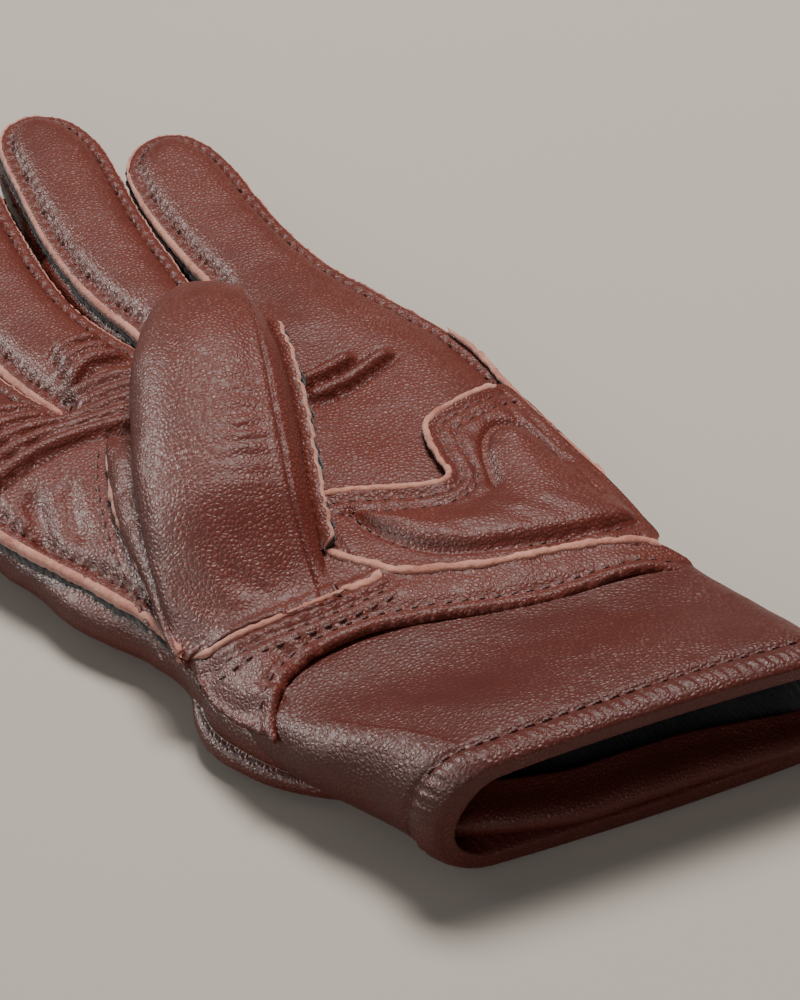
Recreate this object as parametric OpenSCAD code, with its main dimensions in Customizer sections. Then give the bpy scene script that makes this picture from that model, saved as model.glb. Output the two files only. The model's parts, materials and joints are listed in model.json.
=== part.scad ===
/* [Hand] */
// Height of the hand lying on its back, from back leather to palm leather
hand_h = 20; // [18:0.5:22]
// Thickness of the leather panels
leather_t = 1.2; // [1:0.1:1.4]
// Thickness of the knitted lining
lining_t = 0.8; // [0.6:0.1:1]
// Width of a seam wall between a front and a back panel
wall_t = 1.6; // [1.4:0.1:2]

/* [Fingers] */
// Height of a finger lying on its back
finger_h = 18; // [16:0.5:18.5]
// Length of the index finger from its base crease
index_len = 91; // [85:1:95]
// Length of the middle finger from its base crease
middle_len = 97; // [92:1:100]
// Length of the ring finger from its base crease
ring_len = 90; // [85:1:95]
// Length of the little finger from its base crease
little_len = 69; // [64:1:74]
// Part of a finger's length that lies below its second knuckle
knuckle_share = 0.44; // [0.4:0.01:0.5]

/* [Thumb] */
// Length of the thumb from its base seam
thumb_len = 80; // [76:1:82]
// Width of the thumb
thumb_w = 30; // [28:0.5:31]
// Height of the thumb above its own underside
thumb_h = 20; // [18:0.5:21]
// Angle of the thumb across the palm
thumb_angle = 17; // [15:0.5:19]

/* [Cuff] */
// Height of the flattened cuff tube
cuff_h = 24.4; // [22:0.2:26]
// Gap between the cuff and the surface that the hand rests on
cuff_lift = 1.5; // [1.4:0.1:2]
// Width of the hem binding along the mouth
hem_w = 5; // [4:0.5:6]
// Length of the leather facing inside the mouth
facing_len = 16; // [12:1:20]

/* [Details] */
// Height of the foam pad under the heel patch
foam_h = 3; // [2:0.5:4]
// Diameter of the cords under the flex ribs
cord_d = 2.4; // [2:0.2:3]
// Number of flex ribs across the knuckle line
rib_count = 5; // [4:1:6]
// Length of one stitch
stitch_len = 2.2; // [1.8:0.1:2.4]
// Distance from one stitch to the next
stitch_pitch = 3.4; // [3.2:0.1:4]

/* [Hidden] */

// Finger numbers: 0 index, 1 middle, 2 ring, 3 little
finger_x = [-47.5, -23, 2, 29];
finger_y = [20, 28, 29, 28];
finger_a = [-1.5, -0.5, 2.5, 2];
finger_w = [23, 23, 23.5, 26];
finger_len = [index_len, middle_len, ring_len, little_len];

gap = 0.4;
leather = "#6b332d";
back_leather = "#5d2c27";
lining_black = "#151414";
thread_red = "#4a1c1a";
foam_grey = "#3a3a3a";

// Edges of the hand as [y, x] knots, joined by smooth curves
radial_knots = [[-74, -32], [-58, -36], [-38, -44], [-12, -53], [20, -58.5]];
ulnar_knots = [[-85, 57], [-58, 56], [-35, 58], [-8, 59], [18, 53], [30, 43]];
edge_step = 4;

// Corners of the cuff, seen from above
wrist_left = [-32, -74];
wrist_right = [57, -85];
mouth_left = [-21, -114];
mouth_right = [60, -124.6];

thumb_base = [-24, -58];
thumb_z = hand_h + 2;
thumb_hole_y = 5;
thumb_hole_len = 38;
thumb_hole_w = 20;

function knot_index(knots, y) = max([for (i = [0 : len(knots) - 2]) knots[i][0] <= y ? i : 0]);
function slope(knots, i) =
    let (a = knots[max(i - 1, 0)], b = knots[min(i + 1, len(knots) - 1)])
    (b[1] - a[1]) / (b[0] - a[0]);
function hermite(t, p, q, m, n) =
    (1 + 2 * t) * (1 - t) * (1 - t) * p + t * (1 - t) * (1 - t) * m + t * t * (3 - 2 * t) * q + t * t * (t - 1) * n;
function edge_x(knots, y) =
    let (i = knot_index(knots, y), a = knots[i], b = knots[i + 1], d = b[0] - a[0])
    hermite((y - a[0]) / d, a[1], b[1], slope(knots, i) * d, slope(knots, i + 1) * d);
function edge_points(knots, inset) =
    let (y0 = knots[0][0], y1 = knots[len(knots) - 1][0], n = ceil((y1 - y0) / edge_step))
    [for (i = [0 : n]) let (y = y0 + (y1 - y0) * i / n) [edge_x(knots, y) + inset, y]];
function reversed(list) = [for (i = [len(list) - 1 : -1 : 0]) list[i]];
function mix(a, b, t) = a + (b - a) * t;

module plate(z, t) {
    translate([0, 0, z]) linear_extrude(t) children();
}

// The hand seen from above, drawn in from both sides by inset
module hand_outline(inset = 0) {
    difference() {
        polygon(concat(edge_points(radial_knots, inset), reversed(edge_points(ulnar_knots, -inset))));
        for (i = [0 : 3]) finger_zone(i);
    }
}

// Everything past a finger's base crease
module finger_zone(i) {
    translate([finger_x[i], finger_y[i]]) rotate(-finger_a[i]) translate([-20, -gap]) square([40, 60]);
}

module side_strip(knots, inset) {
    difference() {
        polygon(concat(edge_points(knots, 0), reversed(edge_points(knots, inset))));
        for (i = [0 : 3]) finger_zone(i);
    }
}

module slot_outline(w, length) {
    translate([-w / 2, w / 2]) square([w, length - w]);
    for (y = [w / 2, length - w / 2]) translate([0, y]) circle(d = w, $fn = 48);
}

module thumb_place() {
    translate([thumb_base[0], thumb_base[1], thumb_z]) rotate([0, 0, -thumb_angle]) children();
}

module thumb_hole() {
    translate(thumb_base) rotate(-thumb_angle) thumb_slot();
}

module palm_panel() {
    color(leather) plate(hand_h - leather_t, leather_t) difference() {
        hand_outline();
        thumb_hole();
    }
}

module back_panel() {
    color(back_leather) plate(0, leather_t) hand_outline();
}

module radial_side_strip() {
    color(back_leather) plate(leather_t, hand_h - 2 * leather_t) side_strip(radial_knots, wall_t);
}

module ulnar_side_strip() {
    color(back_leather) plate(leather_t, hand_h - 2 * leather_t) side_strip(ulnar_knots, -wall_t);
}

module palm_lining() {
    color(lining_black) plate(hand_h - leather_t - lining_t, lining_t) difference() {
        hand_outline(wall_t);
        thumb_hole();
    }
}

module back_lining() {
    color(lining_black) plate(leather_t, lining_t) hand_outline(wall_t);
}

// Heel patch: an L with a step towards the thumb, over a foam pad
heel_points = [[4, -41], [20, -44], [28, -43], [31, -29], [38, -24], [53, -21], [54, -48], [52, -64], [34, -66], [14, -56]];
foam_inset = 0.86;
foam_centre = [34, -48];

module heel_outline() {
    polygon(heel_points);
}

module foam_outline() {
    polygon([for (p = heel_points) foam_centre + (p - foam_centre) * foam_inset]);
}

module heel_foam_pad() {
    color(foam_grey) plate(hand_h, foam_h - leather_t) foam_outline();
}

module heel_patch() {
    color(leather) difference() {
        plate(hand_h, foam_h) heel_outline();
        plate(hand_h, foam_h - leather_t) foam_outline();
    }
}

// Cords under the leather: the long ones below the fingers and two short ones beside the thumb
rib_start = [-54, 2];
rib_pitch = 3.6;
rib_len = 38;
short_ribs = [[16, -6, 14], [13, -10, 22]];

module rib(x, y, length) {
    translate([x, y, hand_h + cord_d / 2 - 0.8]) rotate([0, 90, 0]) cylinder(d = cord_d, h = length, $fn = 24);
}

module flex_rib_cords() {
    color(leather) intersection() {
        union() {
            for (i = [0 : rib_count - 1]) rib(rib_start[0], rib_start[1] + i * rib_pitch, rib_len);
            for (r = short_ribs) rib(r[0], r[1], r[2]);
        }
        translate([-70, -30, hand_h]) cube([140, 60, cord_d]);
    }
}

module thumb_quirk() {
    color(leather) plate(hand_h, leather_t) polygon([[-6, -63], [-5, -50], [3, -58], [0, -64]]);
}

// Wrist band across the palm side: it follows the wrist line
band_w = 9;
function wrist_line(t) = mix(wrist_left, wrist_right, t) + [0, gap];
module wrist_band() {
    band_steps = 8;
    lower = [for (i = [0 : band_steps]) wrist_line(mix(0.02, 0.98, i / band_steps))];
    upper = [for (p = reversed(lower)) p + [0, band_w]];
    color(leather) plate(hand_h, leather_t + 0.4) polygon(concat(lower, upper));
}

// Strap end that wraps the radial edge of the wrist
strap_span = [-73, -62];
strap_t = 2.4;
strap_gap = 0.1;
module wrist_strap() {
    z0 = 2;
    steps = [for (i = [0 : 4]) mix(strap_span[0], strap_span[1], i / 4)];
    inner = [for (y = steps) [edge_x(radial_knots, y) - strap_gap, y]];
    outer = [for (p = reversed(inner)) p - [strap_t, 0]];
    color(leather) plate(z0, hand_h - 3 * z0) polygon(concat(inner, outer));
}

// A row of stitches from p to q, lying on the height z
module stitch_row(p, q, z) {
    length = norm(q - p);
    count = floor(length / stitch_pitch);
    angle = atan2(q[1] - p[1], q[0] - p[0]);
    for (i = [0 : count - 1]) {
        translate([p[0], p[1], z]) rotate([0, 0, angle])
            translate([i * stitch_pitch, -0.3, 0]) cube([stitch_len, 0.6, 0.5]);
    }
}

module palm_stitching() {
    band_top = hand_h + leather_t + 0.4;
    heel_top = hand_h + foam_h;
    color(thread_red) {
        stitch_row(wrist_line(0.06) + [0, 6.5], wrist_line(0.94) + [0, 6.5], band_top);
        stitch_row([31.5, -42], [34, -31], heel_top);
        stitch_row([35, -29.5], [50, -24], heel_top);
        stitch_row([47, 14], [54.5, -2], hand_h);
        stitch_row([55.5, -6], [55, -22], hand_h);
        stitch_row([-51, -8], [-43, -33], hand_h);
    }
}

module finger_place(i) {
    translate([finger_x[i], finger_y[i], 0]) rotate([0, 0, -finger_a[i]]) children();
}

function knuckle(i) = finger_len[i] * knuckle_share;

// A finger seen from above, with a round tip, drawn in by inset
module finger_outline(i, inset = 0) {
    w = finger_w[i] - 2 * inset;
    straight = finger_len[i] - finger_w[i] / 2;
    translate([-w / 2, 0]) square([w, straight]);
    translate([0, straight]) circle(d = w, $fn = 48);
}

module lower_zone(i) {
    translate([-20, 0]) square([40, knuckle(i)]);
}

module upper_zone(i) {
    translate([-20, knuckle(i) + gap]) square([40, 100]);
}

module finger_part(i, upper, inset) {
    intersection() {
        finger_outline(i, inset);
        if (upper) upper_zone(i);
        else lower_zone(i);
    }
}

module finger_front(i, upper) {
    color(leather) finger_place(i) plate(finger_h - leather_t, leather_t) finger_part(i, upper, 0);
}

module finger_back(i, upper) {
    color(back_leather) finger_place(i) plate(0, leather_t) finger_part(i, upper, 0);
}

module finger_sides(i, upper) {
    color(back_leather) finger_place(i) plate(leather_t, finger_h - 2 * leather_t) difference() {
        finger_part(i, upper, 0);
        translate([0, upper ? 0 : -1]) finger_outline(i, wall_t);
    }
}

module finger_lining(i, upper) {
    color(lining_black) finger_place(i) difference() {
        plate(leather_t, finger_h - 2 * leather_t) finger_part(i, upper, wall_t);
        plate(leather_t + lining_t, finger_h - 2 * (leather_t + lining_t))
            translate([0, upper ? 0 : -1]) finger_outline(i, wall_t + lining_t);
    }
}

module thumb_outline(inset = 0) {
    w = thumb_w - 2 * inset;
    straight = thumb_len - thumb_w / 2;
    translate([-w / 2, inset]) square([w, straight - inset]);
    translate([0, straight]) circle(d = w, $fn = 48);
}

module thumb_slot() {
    translate([0, thumb_hole_y]) slot_outline(thumb_hole_w, thumb_hole_len);
}

module thumb_outer() {
    color(leather) thumb_place() plate(thumb_h - leather_t, leather_t) thumb_outline();
}

module thumb_inner() {
    color(leather) thumb_place() plate(0, leather_t) difference() {
        thumb_outline();
        thumb_slot();
    }
}

module thumb_sides() {
    color(back_leather) thumb_place() plate(leather_t, thumb_h - 2 * leather_t) difference() {
        thumb_outline();
        thumb_outline(wall_t);
    }
}

module thumb_lining() {
    color(lining_black) thumb_place() difference() {
        plate(leather_t, thumb_h - 2 * leather_t) thumb_outline(wall_t);
        plate(leather_t + lining_t, thumb_h - 2 * (leather_t + lining_t)) thumb_outline(wall_t + lining_t);
        plate(0, leather_t + lining_t) thumb_slot();
    }
}

cuff_top = cuff_lift + cuff_h;
mouth_along = (mouth_right - mouth_left) / norm(mouth_right - mouth_left);
mouth_back = [-mouth_along[1], mouth_along[0]];
side_reach = 20;

// The cuff seen from above, with its sides drawn in by inset, and longer at its mouth and its wrist end
module cuff_outline(inset = 0, past = 0, before = 0) {
    left = [inset, -gap];
    right = [-inset, -gap];
    left_way = (mouth_left - wrist_left) / norm(mouth_left - wrist_left);
    right_way = (mouth_right - wrist_right) / norm(mouth_right - wrist_right);
    polygon([
        wrist_left + left - left_way * before,
        wrist_right + right - right_way * before,
        mouth_right + right + right_way * past,
        mouth_left + left + left_way * past,
    ]);
}

// A band across the cuff, length deep from the mouth line
module mouth_band(length) {
    p = mouth_left - mouth_along * side_reach;
    q = mouth_right + mouth_along * side_reach;
    polygon([p, q, q + mouth_back * length, p + mouth_back * length]);
}

module mouth_zone(length, inset) {
    intersection() {
        cuff_outline(inset, 1);
        mouth_band(length);
    }
}

module cuff_front() {
    color(leather) plate(cuff_top - leather_t, leather_t) cuff_outline();
}

module cuff_back() {
    color(back_leather) plate(cuff_lift, leather_t) cuff_outline();
}

module cuff_side(left) {
    color(leather) plate(cuff_lift + leather_t, cuff_h - 2 * leather_t) intersection() {
        difference() {
            cuff_outline();
            cuff_outline(wall_t, 1, 1);
        }
        translate([left ? -60 : 20, -140]) square([80, 80]);
    }
}

module cuff_radial_side() {
    cuff_side(true);
}

module cuff_ulnar_side() {
    cuff_side(false);
}

// Binding rolled round the mouth, outside the four walls
module cuff_hem() {
    color(leather) difference() {
        plate(cuff_lift - leather_t, cuff_h + 2 * leather_t) mouth_zone(hem_w, -leather_t);
        plate(cuff_lift, cuff_h) cuff_outline(0, 2);
    }
}

module cuff_facing() {
    color(leather) difference() {
        plate(cuff_lift + leather_t, cuff_h - 2 * leather_t) mouth_zone(facing_len, wall_t);
        plate(cuff_lift + 2 * leather_t, cuff_h - 4 * leather_t) cuff_outline(wall_t + leather_t, 2);
    }
}

module cuff_stitching() {
    up = [0, hem_w + 1.5];
    color(thread_red) stitch_row(mouth_left + up + [3, 0], mouth_right + up - [3, 0], cuff_top);
}

palm_panel();
back_panel();
radial_side_strip();
ulnar_side_strip();
heel_patch();
heel_foam_pad();
flex_rib_cords();
thumb_quirk();
wrist_band();
wrist_strap();
palm_lining();
back_lining();
palm_stitching();
finger_front(0, false);  // index_lower_front
finger_back(0, false);  // index_lower_back
finger_sides(0, false);  // index_lower_sides
finger_lining(0, false);  // index_lower_lining
finger_front(0, true);  // index_upper_front
finger_back(0, true);  // index_upper_back
finger_sides(0, true);  // index_upper_sides
finger_lining(0, true);  // index_upper_lining
finger_front(1, false);  // middle_lower_front
finger_back(1, false);  // middle_lower_back
finger_sides(1, false);  // middle_lower_sides
finger_lining(1, false);  // middle_lower_lining
finger_front(1, true);  // middle_upper_front
finger_back(1, true);  // middle_upper_back
finger_sides(1, true);  // middle_upper_sides
finger_lining(1, true);  // middle_upper_lining
finger_front(2, false);  // ring_lower_front
finger_back(2, false);  // ring_lower_back
finger_sides(2, false);  // ring_lower_sides
finger_lining(2, false);  // ring_lower_lining
finger_front(2, true);  // ring_upper_front
finger_back(2, true);  // ring_upper_back
finger_sides(2, true);  // ring_upper_sides
finger_lining(2, true);  // ring_upper_lining
finger_front(3, false);  // little_lower_front
finger_back(3, false);  // little_lower_back
finger_sides(3, false);  // little_lower_sides
finger_lining(3, false);  // little_lower_lining
finger_front(3, true);  // little_upper_front
finger_back(3, true);  // little_upper_back
finger_sides(3, true);  // little_upper_sides
finger_lining(3, true);  // little_upper_lining
thumb_outer();
thumb_inner();
thumb_sides();
thumb_lining();
cuff_front();
cuff_back();
cuff_radial_side();
cuff_ulnar_side();
cuff_hem();
cuff_facing();
cuff_stitching();
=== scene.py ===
import json
import math

import bpy
import numpy as np
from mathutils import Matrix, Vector


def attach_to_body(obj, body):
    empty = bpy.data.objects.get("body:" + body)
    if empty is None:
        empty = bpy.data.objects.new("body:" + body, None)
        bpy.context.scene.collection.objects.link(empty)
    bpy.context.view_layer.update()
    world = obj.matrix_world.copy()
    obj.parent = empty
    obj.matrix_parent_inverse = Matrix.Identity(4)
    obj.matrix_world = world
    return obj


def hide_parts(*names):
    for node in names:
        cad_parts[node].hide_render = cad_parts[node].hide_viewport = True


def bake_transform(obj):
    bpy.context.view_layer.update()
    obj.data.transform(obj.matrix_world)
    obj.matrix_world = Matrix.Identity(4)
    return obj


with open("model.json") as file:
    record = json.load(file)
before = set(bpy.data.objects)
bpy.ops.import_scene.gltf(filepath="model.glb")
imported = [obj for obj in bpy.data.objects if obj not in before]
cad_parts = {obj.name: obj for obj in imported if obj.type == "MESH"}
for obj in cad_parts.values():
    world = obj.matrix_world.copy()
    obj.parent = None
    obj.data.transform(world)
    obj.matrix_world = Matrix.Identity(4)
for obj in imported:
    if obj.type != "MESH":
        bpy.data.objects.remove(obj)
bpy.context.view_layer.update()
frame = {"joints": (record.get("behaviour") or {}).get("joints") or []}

MM = 0.001

# ---------------------------------------------------------------- layout, in millimetres

FINGERS = ["index", "middle", "ring", "little"]
JOINTS = {j["name"]: j for j in frame["joints"]}


def joint_place(name):
    """A joint's pivot and axis, in millimetres."""
    j = JOINTS[name]
    return np.array(j["pos_m"]) / MM, np.array(j["axis"], float)


BASE = {f: joint_place(f + "_base_bend") for f in FINGERS}
KNUCKLE = {f: joint_place(f + "_knuckle_bend") for f in FINGERS}

# The front leather's raw edge, seen from above: up the little finger's side, round each finger,
# and down the thumb side
FRONT_EDGE = [(51.8, -70), (53, -62), (53.6, -50), (53.5, -38), (52.5, -24), (52, -12), (50.5, 0), (47.5, 10),
              (44, 21), (41, 33), (39.3, 46), (38.8, 60), (39.2, 74), (38, 84), (34.8, 90.3), (29.5, 92.8),
              (23.5, 91), (18.2, 85), (16, 75), (15.4, 62), (15.6, 50), (16.2, 38), (14.3, 27), (12.4, 38),
              (12.6, 50), (13.2, 65), (14.8, 80), (16.3, 94), (15.3, 104.5), (11.8, 111), (6, 113.8),
              (0, 111.8), (-4, 104.5), (-6.2, 90), (-8, 75), (-8.5, 60), (-7.2, 45), (-4.8, 33), (-5.4, 23),
              (-8, 29), (-11, 39), (-12.8, 50), (-13, 65), (-11.8, 80), (-10.5, 95), (-10.6, 108), (-14, 117),
              (-21, 121.5), (-28.5, 118.5), (-33, 109), (-34.5, 90), (-35, 65), (-34.6, 45), (-32, 27),
              (-29, 15), (-33.5, 27), (-37, 43), (-38.3, 60), (-38.8, 80), (-39.4, 95), (-42.6, 103.5),
              (-49.5, 107.5), (-56, 104), (-59.2, 95), (-60, 78), (-60, 55), (-59.2, 38), (-58, 22), (-57, 8),
              (-54.8, -2), (-51.5, -12), (-47.5, -21), (-42.5, -32), (-38.5, -43), (-36.8, -52), (-36.8, -60),
              (-35.6, -65), (-31, -67), (-20, -68), (0, -69.5), (20, -71), (38, -72.4), (48, -73.4)]
# Where one finger's ground ends and the next one's begins, as (x, y) up each slit
SLITS = [[(-29, 15), (-32.9, 27), (-36.2, 43), (-37.6, 60), (-38, 80), (-38.5, 110)],
         [(-5.4, 23), (-6.6, 30), (-10, 40), (-11.8, 50), (-12.3, 62), (-11.2, 80), (-9.7, 95), (-9.6, 120)],
         [(14.3, 27), (13.8, 33), (13.3, 40), (13.4, 50), (13.6, 60), (14.4, 70), (15.4, 80), (16.2, 85),
          (17.5, 90), (18.5, 97), (19.5, 120)]]
STITCH = 3.1
SEAM_INSET = 2.6
LEATHER = 1.2
# How far from a joint, along a finger, its pieces are cut
KNUCKLE_CUT = 12
BLEND_IN = -4


# ---------------------------------------------------------------- small maths

def smooth(t):
    t = np.clip(t, 0, 1)
    return t * t * (3 - 2 * t)


def mix(a, b, t):
    return a + (b - a) * t


def bell(d, width):
    return np.exp(-((d / width) ** 2))


def noise(x, y, scale, seed):
    """Smooth random bumps from -1 to 1, about scale millimetres across."""
    table = np.random.default_rng(seed).uniform(-1, 1, (97, 97))
    u, v = np.asarray(x) / scale + 40, np.asarray(y) / scale + 40
    i, j = np.floor(u).astype(int), np.floor(v).astype(int)
    fu, fv = smooth(u - i), smooth(v - j)
    i, j = i % 96, j % 96
    low = mix(table[i, j], table[i + 1, j], fu)
    high = mix(table[i, j + 1], table[i + 1, j + 1], fu)
    return mix(low, high, fv)


def unit(v):
    """Each row scaled to length 1."""
    return v / np.maximum(np.linalg.norm(v, axis=1, keepdims=True), 1e-9)


def sample(t, s, p):
    """The points p, known at the places s, read at the places t."""
    return np.column_stack([np.interp(t, s, p[:, k]) for k in range(p.shape[1])])


def spline(points, step, closed=False):
    """A smooth curve through points, cut to about equal steps."""
    p = np.array(points, float)
    n = len(p)
    ext = np.vstack([p[-1:], p, p[:2]]) if closed else np.vstack([2 * p[0] - p[1], p, 2 * p[-1] - p[-2]])
    out = []
    for k in range(n if closed else n - 1):
        a, b, c, d = ext[k:k + 4]
        t = np.linspace(0, 1, 16, endpoint=False)[:, None]
        out.append(b + 0.5 * t * (c - a + t * (2 * a - 5 * b + 4 * c - d + t * (3 * (b - c) + d - a))))
    if not closed:
        out.append(p[-1:])
    return even(np.vstack(out), step, closed)


def even(p, step, closed=False):
    if closed:
        p = np.vstack([p, p[:1]])
    s = along(p)
    count = max(3, int(round(s[-1] / step)))
    t = np.linspace(0, s[-1], count + 1)
    if closed:
        t = t[:-1]
    return sample(t, s, p)


def along(p):
    """Distance along a polyline at each point."""
    return np.concatenate([[0], np.cumsum(np.linalg.norm(np.diff(p, axis=0), axis=1))])


def near(x, y, line, closed=False):
    """Distance from each point to a polyline, and how far along it the nearest place is."""
    a = line
    b = np.roll(line, -1, axis=0)
    if not closed:
        a, b = a[:-1], b[:-1]
    ab = b - a
    length = np.linalg.norm(ab, axis=1)
    start = np.concatenate([[0], np.cumsum(length)[:-1]])
    best = np.full(x.size, 1e9)
    place = np.zeros(x.size)
    px, py = x.ravel(), y.ravel()
    for lo in range(0, px.size, 4000):
        hi = lo + 4000
        dx = px[lo:hi, None] - a[None, :, 0]
        dy = py[lo:hi, None] - a[None, :, 1]
        t = np.clip((dx * ab[:, 0] + dy * ab[:, 1]) / np.maximum(length ** 2, 1e-12), 0, 1)
        d = np.hypot(dx - t * ab[:, 0], dy - t * ab[:, 1])
        k = d.argmin(axis=1)
        rows = np.arange(k.size)
        best[lo:hi] = d[rows, k]
        place[lo:hi] = start[k] + t[rows, k] * length[k]
    return best.reshape(x.shape), place.reshape(x.shape)


def inside(x, y, line):
    """True where a point is inside a closed outline."""
    hit = np.zeros(x.size, bool)
    px, py = x.ravel(), y.ravel()
    for (ax, ay), (bx, by) in zip(line, np.roll(line, -1, axis=0)):
        if ay == by:
            continue
        crosses = (ay > py) != (by > py)
        hit ^= crosses & (px < (bx - ax) * (py - ay) / (by - ay) + ax)
    return hit.reshape(x.shape)


def depth(x, y, line):
    """Distance inside a closed outline, negative outside, and the place along it."""
    d, s = near(x, y, line, closed=True)
    return np.where(inside(x, y, line), d, -d), s


def outward(line, closed=True):
    """Unit vectors pointing out of a counter-clockwise outline, or to the right of an open line."""
    t = unit(np.roll(line, -1, axis=0) - np.roll(line, 1, axis=0) if closed else np.gradient(line, axis=0))
    return np.column_stack([t[:, 1], -t[:, 0]])


# ---------------------------------------------------------------- meshes as plain arrays
# Points are in mm. A face is four corner numbers, and the last is -1 for a triangle.

def tris_of(f):
    quad = f[:, 3] >= 0
    return np.vstack([f[:, :3], f[quad][:, [0, 2, 3]]])


def normals_of(v, f):
    t = tris_of(f)
    n = np.cross(v[t[:, 1]] - v[t[:, 0]], v[t[:, 2]] - v[t[:, 0]])
    out = np.zeros_like(v)
    for k in range(3):
        np.add.at(out, t[:, k], n)
    return out / np.maximum(np.linalg.norm(out, axis=1, keepdims=True), 1e-12)


def edges_of(f):
    """Every face's edges, each in its face's direction."""
    quad = f[:, 3] >= 0
    return np.vstack([f[:, [0, 1]], f[:, [1, 2]], f[quad][:, [2, 3]], f[quad][:, [3, 0]],
                      f[~quad][:, [2, 0]]])


def centres_of(v, f):
    quad = (f[:, 3] >= 0)[:, None]
    return np.where(quad, v[f].mean(axis=1), v[f[:, :3]].mean(axis=1))


def rim_of(f):
    """Edges that belong to one face only, in that face's direction."""
    e = edges_of(f)
    key = np.sort(e, axis=1)
    _, first, count = np.unique(key, axis=0, return_index=True, return_counts=True)
    return e[first[count == 1]]


def solid(v, f, thick, rim_material=1, under_material=0):
    """Gives a skin its thickness, downwards from its face side. Returns verts, faces and material numbers."""
    n = len(v)
    low = v - normals_of(v, f) * thick
    back = f[:, ::-1].copy()
    tri = f[:, 3] < 0
    back[tri] = np.column_stack([f[tri][:, [2, 1, 0]], np.full(tri.sum(), -1 - n)])
    back = back + n
    e = rim_of(f)
    rim = np.column_stack([e[:, 1], e[:, 0], e[:, 0] + n, e[:, 1] + n])
    faces = np.vstack([f, back, rim])
    mats = np.concatenate([np.zeros(len(f)), np.full(len(f), under_material),
                           np.full(len(rim), rim_material)])
    return np.vstack([v, low]), faces, mats.astype(int)


def grid_faces(rows, cols, wrap=False):
    i = np.arange(rows - 1)[:, None] * cols
    j = np.arange(cols if wrap else cols - 1)[None, :]
    k = (j + 1) % cols
    return np.stack([i + j, i + k, i + cols + k, i + cols + j], axis=-1).reshape(-1, 4)


def sheet(outline, height, step):
    """A skin over a closed outline. height(x, y, depth, place) gives z."""
    lo, hi = outline.min(axis=0) - step, outline.max(axis=0) + step
    nx, ny = (np.ceil((hi - lo) / step)).astype(int) + 1
    gx, gy = np.meshgrid(lo[0] + np.arange(nx) * step, lo[1] + np.arange(ny) * step, indexing="ij")
    d, _ = depth(gx, gy, outline)
    snap = np.abs(d) < 0.35 * step
    slope = np.gradient(d, step)
    size = np.maximum(np.hypot(*slope), 0.3)
    gx = np.where(snap, gx - d * slope[0] / size, gx)
    gy = np.where(snap, gy - d * slope[1] / size, gy)
    d = np.where(snap, 0, d)
    keep = d >= 0
    ids = np.arange(nx * ny).reshape(nx, ny)
    cells = np.stack([ids[:-1, :-1], ids[1:, :-1], ids[1:, 1:], ids[:-1, 1:]], axis=-1).reshape(-1, 4)
    flat = keep.ravel()
    count = flat[cells].sum(axis=1)
    faces = [cells[count == 4]]
    px, py, pd = gx.ravel(), gy.ravel(), d.ravel()
    extra, cuts, found = [], {}, []

    def cut(a, b):
        key = (min(a, b), max(a, b))
        if key not in cuts:
            t = pd[a] / (pd[a] - pd[b])
            cuts[key] = nx * ny + len(extra)
            extra.append((mix(px[a], px[b], t), mix(py[a], py[b], t)))
        return cuts[key]

    for cell in cells[(count > 0) & (count < 4)]:
        ring = []
        for k in range(4):
            a, b = cell[k], cell[(k + 1) % 4]
            if flat[a]:
                ring.append(a)
            if flat[a] != flat[b] and pd[a] != 0 and pd[b] != 0:
                ring.append(cut(a, b))
        if len(ring) == 4:
            found.append(ring)
        elif len(ring) > 2:
            found += [[ring[0], ring[k], ring[k + 1], -1] for k in range(1, len(ring) - 1)]
    faces.append(np.array(found, int).reshape(-1, 4))
    f = np.vstack(faces)
    xy = np.column_stack([px, py])
    if extra:
        xy = np.vstack([xy, np.array(extra)])
    used = np.unique(f[f >= 0])
    renumber = np.full(len(xy) + 1, -1)
    renumber[used] = np.arange(len(used))
    f = renumber[f]
    xy = xy[used]
    d, s = depth(xy[:, 0], xy[:, 1], outline)
    d = np.maximum(d, 0)
    return np.column_stack([xy, height(xy[:, 0], xy[:, 1], d, s)]), f


def nets(field, low, step):
    """The surface where a 3-D field is zero, with the field positive inside."""
    cells = tuple(n - 1 for n in field.shape)
    total, count = np.zeros(cells + (3,)), np.zeros(cells)
    for axis in range(3):
        others = [k for k in range(3) if k != axis]
        for u in (0, 1):
            for v in (0, 1):
                base = [0, 0, 0]
                base[others[0]], base[others[1]] = u, v
                near_end = tuple(slice(base[k], base[k] + cells[k]) for k in range(3))
                far = list(base)
                far[axis] = 1
                far_end = tuple(slice(far[k], far[k] + cells[k]) for k in range(3))
                a, b = field[near_end], field[far_end]
                hit = (a > 0) != (b > 0)
                t = np.where(hit, a / np.where(hit, a - b, 1), 0)
                for k in range(3):
                    total[..., k] += hit * (base[k] + (t if k == axis else 0))
                count += hit
    live = count > 0
    number = np.full(cells, -1)
    number[live] = np.arange(live.sum())
    where = np.argwhere(live)
    verts = (where + total[live] / count[live][:, None]) * step + low
    faces = []
    for axis in range(3):
        u, v = [(1, 2), (2, 0), (0, 1)][axis]
        head = [slice(None)] * 3
        head[axis] = slice(0, -1)
        tail = [slice(None)] * 3
        tail[axis] = slice(1, None)
        a, b = field[tuple(head)] > 0, field[tuple(tail)] > 0
        at = np.argwhere(a != b)
        at = at[(at[:, u] > 0) & (at[:, v] > 0) & (at[:, u] < cells[u]) & (at[:, v] < cells[v])]
        quad = []
        for du, dv in ((1, 1), (0, 1), (0, 0), (1, 0)):
            c = at.copy()
            c[:, u] -= du
            c[:, v] -= dv
            quad.append(number[c[:, 0], c[:, 1], c[:, 2]])
        quad = np.column_stack(quad)
        flip = ~a[at[:, 0], at[:, 1], at[:, 2]]
        quad[flip] = quad[flip][:, ::-1]
        faces.append(quad)
    return verts, np.vstack(faces)


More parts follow.
